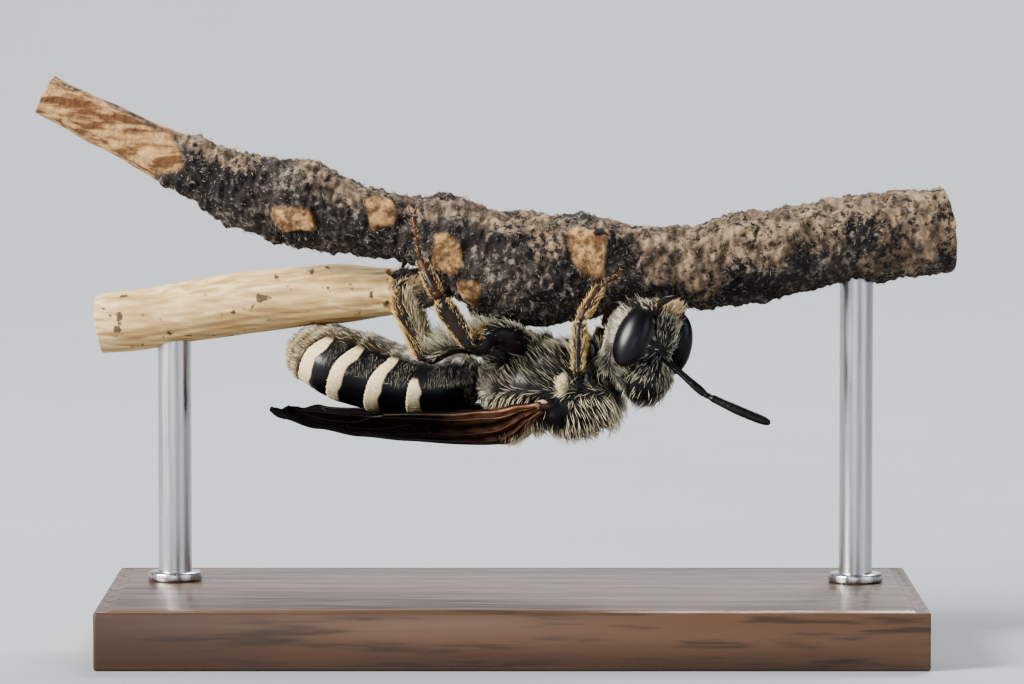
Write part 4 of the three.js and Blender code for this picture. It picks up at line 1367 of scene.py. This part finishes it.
TWIG_COURSE, TWIG_RADII = stem_course(TWIG)
SCARS = [  # place and half-size of corky leaf scars on the near side
    ((-4.45, -1.1, 15.05), (0.5, 0.6, 0.62)), ((-2.2, -1.45, 13.6), (0.57, 0.6, 0.75)),
    ((2.6, -1.4, 13.8), (0.57, 0.8, 0.9)), ((-7.5, -1.2, 14.8), (0.75, 0.6, 0.45)),
    ((-1.75, -1.3, 12.25), (0.7, 0.8, 0.55)), ((8.5, 2.2, 13.6), (0.6, 0.6, 0.6)), ((-9.0, 1.9, 15.6), (0.6, 0.6, 0.6)),
]
LUMPS = [  # place, half-size and height of the knobs of the bark
    ((-1.62, -1.2, 12.3), (0.75, 0.9, 0.7), 0.26), ((-6.9, -0.3, 16.4), (0.85, 1.0, 0.6), 0.2),
    ((-2.5, 0.0, 15.4), (0.75, 0.9, 0.4), 0.24), ((3.1, -1.1, 14.4), (0.4, 0.5, 0.35), 0.14),
    ((1.9, 0.0, 15.1), (0.9, 0.9, 0.4), 0.15),
]
PEEL_END = 0.155  # share of the twig, from its broken end, that has lost its bark


def scar_share(p):
    share = np.zeros(len(p))
    for centre, size in SCARS:
        away = (np.abs((p - np.array(centre)) / np.array(size)) ** 3.5).sum(axis=1) ** (1 / 3.5)
        share = np.maximum(share, smooth_step((1.12 - away - 0.17 * ripple(p, 2.8, 4)) / 0.2))
    return share


def twig_place(angle, t):
    at = np.clip((t - 0.01) / 0.98, 0, 1)
    base = along(TWIG_RADII, at)
    pinch = smooth_step(t / 0.006) * smooth_step((1 - t) / 0.006)
    radius = base * pinch
    points = around(TWIG_COURSE, at, angle, radius)
    barked = smooth_step((at - PEEL_END - 0.012 * np.sin(angle * 3)) / 0.012)
    out = unit(points - TWIG_COURSE.at(at))
    scars = scar_share(points)
    rough = 0.09 * ripple(points, 1.3, 1) + 0.06 * ripple(points, 4.0, 2) + 0.05 * ripple(points, 9, 3)
    rough = rough * (1 - 0.75 * scars) + 0.1 * scars
    for centre, size, height in LUMPS:
        rough = rough + height * np.exp(-(((points - np.array(centre)) / np.array(size)) ** 2).sum(axis=1))
    woody = 0.02 * np.sin(angle * 11 + 3 * np.sin(at * 40)) + 0.02 * ripple(points, 3.0, 5)
    shift = (rough * barked + (woody - 0.12) * (1 - barked)) * pinch
    return points + out * (shift - 0.05)[:, None]


def perch_twig():
    piece = sleeve("twig", twig_place, 112, 560)
    angle, t, p = read_mark(piece, "angle"), read_mark(piece, "course"), points_of(piece)
    barked = smooth_step((t - PEEL_END - 0.012 * np.sin(angle * 3)) / 0.01)
    upper = -np.cos(angle)
    crust = smooth_step((upper - 0.72 + 0.22 * ripple(p, 2.6, 12)) / 0.15) * smooth_step((t - 0.012) / 0.02)
    mark(piece, "peel", 1 - np.maximum(barked, 0.85 * crust))
    mark(piece, "scar", scar_share(p) * barked)
    # lighter toward the top as painted light from above, and toward both ends as the bark's own tone
    right = smooth_step((p[:, 0] - 3.5) / 2.5)
    left = smooth_step((-2.5 - p[:, 0]) / 2.5)
    mark(piece, "topside", smooth_step((upper - 0.35 + 0.75 * right + 0.3 * left + 0.55 * ripple(p, 1.2, 8)) / 0.7))
    thorn = limb("thorn", [(2.75, -0.7, 14.05), (3.0, -1.1, 14.42), (3.32, -1.35, 14.3)], [(0, 0.2), (0.5, 0.13), (1, 0.015)], 10, 14)
    piece = join([piece, thorn], "twig")
    dress(piece, BARK)
    return piece


twig = perch_twig()


def twig_station(p):
    coarse = TWIG_COURSE.line[::2]
    t = TWIG_COURSE.t[::2][np.argmin(np.linalg.norm(p[:, None, :] - coarse[None], axis=2), axis=1)]
    centre, ahead = TWIG_COURSE.at(t), TWIG_COURSE.ahead(t)
    side = unit(np.cross(np.array([0, 0, 1.0]), ahead))
    rise = np.cross(side, ahead)
    return t, np.arctan2(((p - centre) * side).sum(axis=1), ((p - centre) * rise).sum(axis=1))


def unwrap_twig(p):
    t, angle = twig_station(p)
    return np.column_stack([t, angle / math.tau + 0.5])


def fibre_density(p, n):
    t, angle = twig_station(p)
    dark = 0.5 + 0.7 * smooth_step((np.cos(angle) + 0.5) / 0.8) * smooth_step((7 - np.abs(p[:, 0] - 0.5)) / 4)
    return (0.04 + smooth_step((t - PEEL_END) / 0.01)) * (1 - 0.85 * scar_share(p)) * dark * (0.6 + 0.4 * ripple(p, 2.2, 6))


def groom_fibres(p, n, rng):
    t, angle = twig_station(p)
    # more tan fibres toward the top: partly painted light from above, partly the bark's own tone
    top = smooth_step((-np.cos(angle) + 0.3) / 0.9)
    wander = rng.normal(0, 1, p.shape)
    return {
        "lie": wander + TWIG_COURSE.ahead(t) * 0.4, "lift": 0.3, "stand": 0.3, "wild": 0.4, "draw": 0.25,
        "length": 0.18 * rng.uniform(0.5, 1.5, len(t)), "width": 0.022,
        "pale": smooth_step((rng.random(len(t)) - 0.5) / 0.5), "gold": 0.8 * (rng.random(len(t)) < 0.08 + 0.4 * top),
    }


fibres = [
    coat(f"twig_fibres_{part}", [twig], 13000, fibre_density, groom_fibres, unwrap_twig, 30 + i)
    for i, part in enumerate(("under", "over"))
]
for piece in fibres:
    dress(piece, FIBRE)
    settle(piece, WORLD, "bark")
settle(twig, WORLD, "bark", "perch_twig")

BRANCH_COURSE, BRANCH_RADII = stem_course(PALE_BRANCH)


def branch_place(angle, t):
    at = np.clip((t - 0.01) / 0.98, 0, 1)
    pinch = smooth_step(t / 0.008) * smooth_step((1 - t) / 0.006)
    flutes = 1 + 0.012 * np.sin(angle * 9 + 2 * at) + 0.008 * np.sin(angle * 23 + 5 * at)
    radius = (along(BRANCH_RADII, at) - 0.03) * flutes
    torn = smooth_step((at - BARE_END - 0.012 * np.sin(angle * 3 + 1) - 0.008 * np.sin(angle * 8)) / 0.004)
    points = around(BRANCH_COURSE, at, angle, radius * pinch * (1 - 0.16 * torn))
    rough = 0.02 * ripple(points, 1.5, 7) + torn * (0.07 * ripple(points, 3.5, 9) + 0.05 * ripple(points, 9, 10))
    return points + unit(points - BRANCH_COURSE.at(at)) * (rough * pinch)[:, None]


BARE_END = 0.835  # share of the pale branch, from its cut end, that is peeled
branch = sleeve("pale_branch", branch_place, 112, 300)
mark(branch, "peel", (
    read_mark(branch, "course") < BARE_END + 0.012 * np.sin(read_mark(branch, "angle") * 3 + 1)
    + 0.008 * np.sin(read_mark(branch, "angle") * 8)) * 1.0)
dress(branch, STEM)


def collar_density(p, n):
    return smooth_step((p[:, 0] + 4.1) / 0.3)


def groom_collar(p, n, rng):
    return {
        "lie": rng.normal(0, 1, p.shape), "lift": 0.35, "wild": 0.4, "draw": 0.2, "length": 0.25, "width": 0.028,
        "pale": smooth_step((rng.random(len(p)) - 0.5) / 0.5), "gold": 0.8 * (rng.random(len(p)) < 0.25),
    }


collar = coat("collar_fibres", [branch], 1500, collar_density, groom_collar, unwrap_about(0, -15.0, -1.5), 40)
dress(collar, FIBRE)
settle(collar, WORLD, "bark")
settle(branch, WORLD, "peeled_stem", "perch_branch")

# ---------------------------------------------------------------- stand

def stand_base():
    """A flat plate with rounded corners and a soft moulded edge."""
    bpy.ops.object.select_all(action="DESELECT")
    bpy.ops.mesh.primitive_cube_add(size=1, location=(0, 0, 1), scale=(28, 14, 2))
    piece = bpy.context.active_object
    piece.name = "base"
    bpy.ops.object.transform_apply(location=True, scale=True)
    bpy.ops.object.mode_set(mode="EDIT")
    mesh = bmesh.from_edit_mesh(piece.data)
    for edge in mesh.edges:
        edge.select_set(abs(edge.verts[0].co.z - edge.verts[1].co.z) > 1)
    bmesh.update_edit_mesh(piece.data)
    bpy.ops.mesh.bevel(offset=2.0, segments=8)
    mesh = bmesh.from_edit_mesh(piece.data)
    for face in mesh.faces:
        face.select_set(face.normal.z > 0.9)
    mesh.select_flush(True)
    bmesh.update_edit_mesh(piece.data)
    bpy.ops.mesh.inset(thickness=0.35)
    bpy.ops.transform.translate(value=(0, 0, -0.12))
    bpy.ops.mesh.inset(thickness=0.18)
    bpy.ops.transform.translate(value=(0, 0, 0.12))
    bpy.ops.object.mode_set(mode="OBJECT")
    modify(piece, "BEVEL", width=0.12, segments=3, limit_method="ANGLE")
    only(piece)
    bpy.ops.object.shade_smooth_by_angle(angle=math.radians(30))
    dress(piece, STAND)
    return piece


def rod(name, x, y, top):
    bpy.ops.object.select_all(action="DESELECT")
    bpy.ops.mesh.primitive_cylinder_add(vertices=48, radius=0.58, depth=top - 0.5, location=(x, y, (top + 0.5) / 2))
    shaft = bpy.context.active_object
    bpy.ops.object.transform_apply(location=True)
    bpy.ops.mesh.primitive_cylinder_add(vertices=48, radius=0.95, depth=0.35, location=(x, y, 2.15))
    collar = bpy.context.active_object
    bpy.ops.object.transform_apply(location=True)
    modify(collar, "BEVEL", width=0.1, segments=3, limit_method="ANGLE")
    piece = join([shaft, collar], name)
    bpy.ops.object.shade_smooth_by_angle(angle=math.radians(40))
    dress(piece, STEEL)
    return piece


settle(stand_base(), WORLD, "stand_wood", "stand_base")
settle(rod("left_rod", -11.8, 2.75, 11.0), WORLD, "rod_steel", "stand_rod_left")
settle(rod("right_rod", 12.0, 2.15, 13.1), WORLD, "rod_steel", "stand_rod_right")

# ---------------------------------------------------------------- floor, light and camera


def floor_look(tree):
    grain = node(tree, "ShaderNodeTexNoise", {"Vector": place_of(tree), "Scale": 60.0, "Detail": 3.0})
    return {"Base Color": mix(tree, grain.outputs[0], (0.36, 0.375, 0.395), (0.40, 0.415, 0.435))}


FLOOR = material("floor", floor_look, Roughness=0.9)


def sweep():
    """A pale floor that curves up behind the stand."""
    bpy.ops.object.select_all(action="DESELECT")
    bpy.ops.mesh.primitive_grid_add(x_subdivisions=2, y_subdivisions=60, size=1)
    piece = bpy.context.active_object
    piece.name = "sweep"
    flat = points_of(piece)
    run = (flat[:, 1] + 0.5) * 1.4 - 0.5
    bend = np.clip((run - 0.2) / 0.3, 0, 1)
    turn = bend * math.pi / 2
    y = np.minimum(run, 0.2) + 0.19 * np.sin(turn)
    z = 0.19 * (1 - np.cos(turn)) + np.clip(run - 0.5, 0, None)
    move_points(piece, np.column_stack([flat[:, 0] * 1.6, y, z]))
    only(piece)
    bpy.ops.object.shade_smooth()
    dress(piece, FLOOR)


def lamp(name, place, size, power, color):
    light = bpy.data.lights.new(name, "AREA")
    light.shape, light.size, light.energy, light.color = "DISK", size, power, color
    holder = bpy.data.objects.new(name, light)
    bpy.context.scene.collection.objects.link(holder)
    holder.location = place
    holder.rotation_euler = (Vector((0, 0, 0.01)) - Vector(place)).to_track_quat("-Z", "Y").to_euler()


sweep()
lamp("key", (-0.33, -0.16, 0.20), 0.20, 4.0, (1.0, 0.985, 0.96))
lamp("fill", (0.30, -0.25, 0.12), 0.30, 0.45, (0.88, 0.94, 1.0))
lamp("low", (-0.05, -0.34, 0.03), 0.16, 0.16, (0.92, 0.96, 1.0))
lamp("rim", (0.08, 0.22, 0.30), 0.16, 1.4, (1.0, 0.98, 0.95))

world = bpy.data.worlds.new("studio")
world.use_nodes = True
world.node_tree.nodes["Background"].inputs["Color"].default_value = (0.78, 0.85, 0.95, 1)
world.node_tree.nodes["Background"].inputs["Strength"].default_value = 0.26
bpy.context.scene.world = world
bpy.context.scene.view_settings.look = "AgX - Medium High Contrast"

CAMERA_AWAY, CAMERA_RISE, CAMERA_AIM = 200.0, math.radians(4), 10.55
lens = bpy.data.cameras.new("view")
lens.sensor_width, lens.lens = 36, 36 * CAMERA_AWAY * 29 / 1024
lens.clip_start, lens.clip_end = 0.005, 5
camera = bpy.data.objects.new("view", lens)
bpy.context.scene.collection.objects.link(camera)
camera.location = Vector((0, -CAMERA_AWAY * math.cos(CAMERA_RISE), CAMERA_AIM + CAMERA_AWAY * math.sin(CAMERA_RISE))) * MM
camera.rotation_euler = (math.radians(90) - CAMERA_RISE, 0, 0)
bpy.context.scene.camera = camera
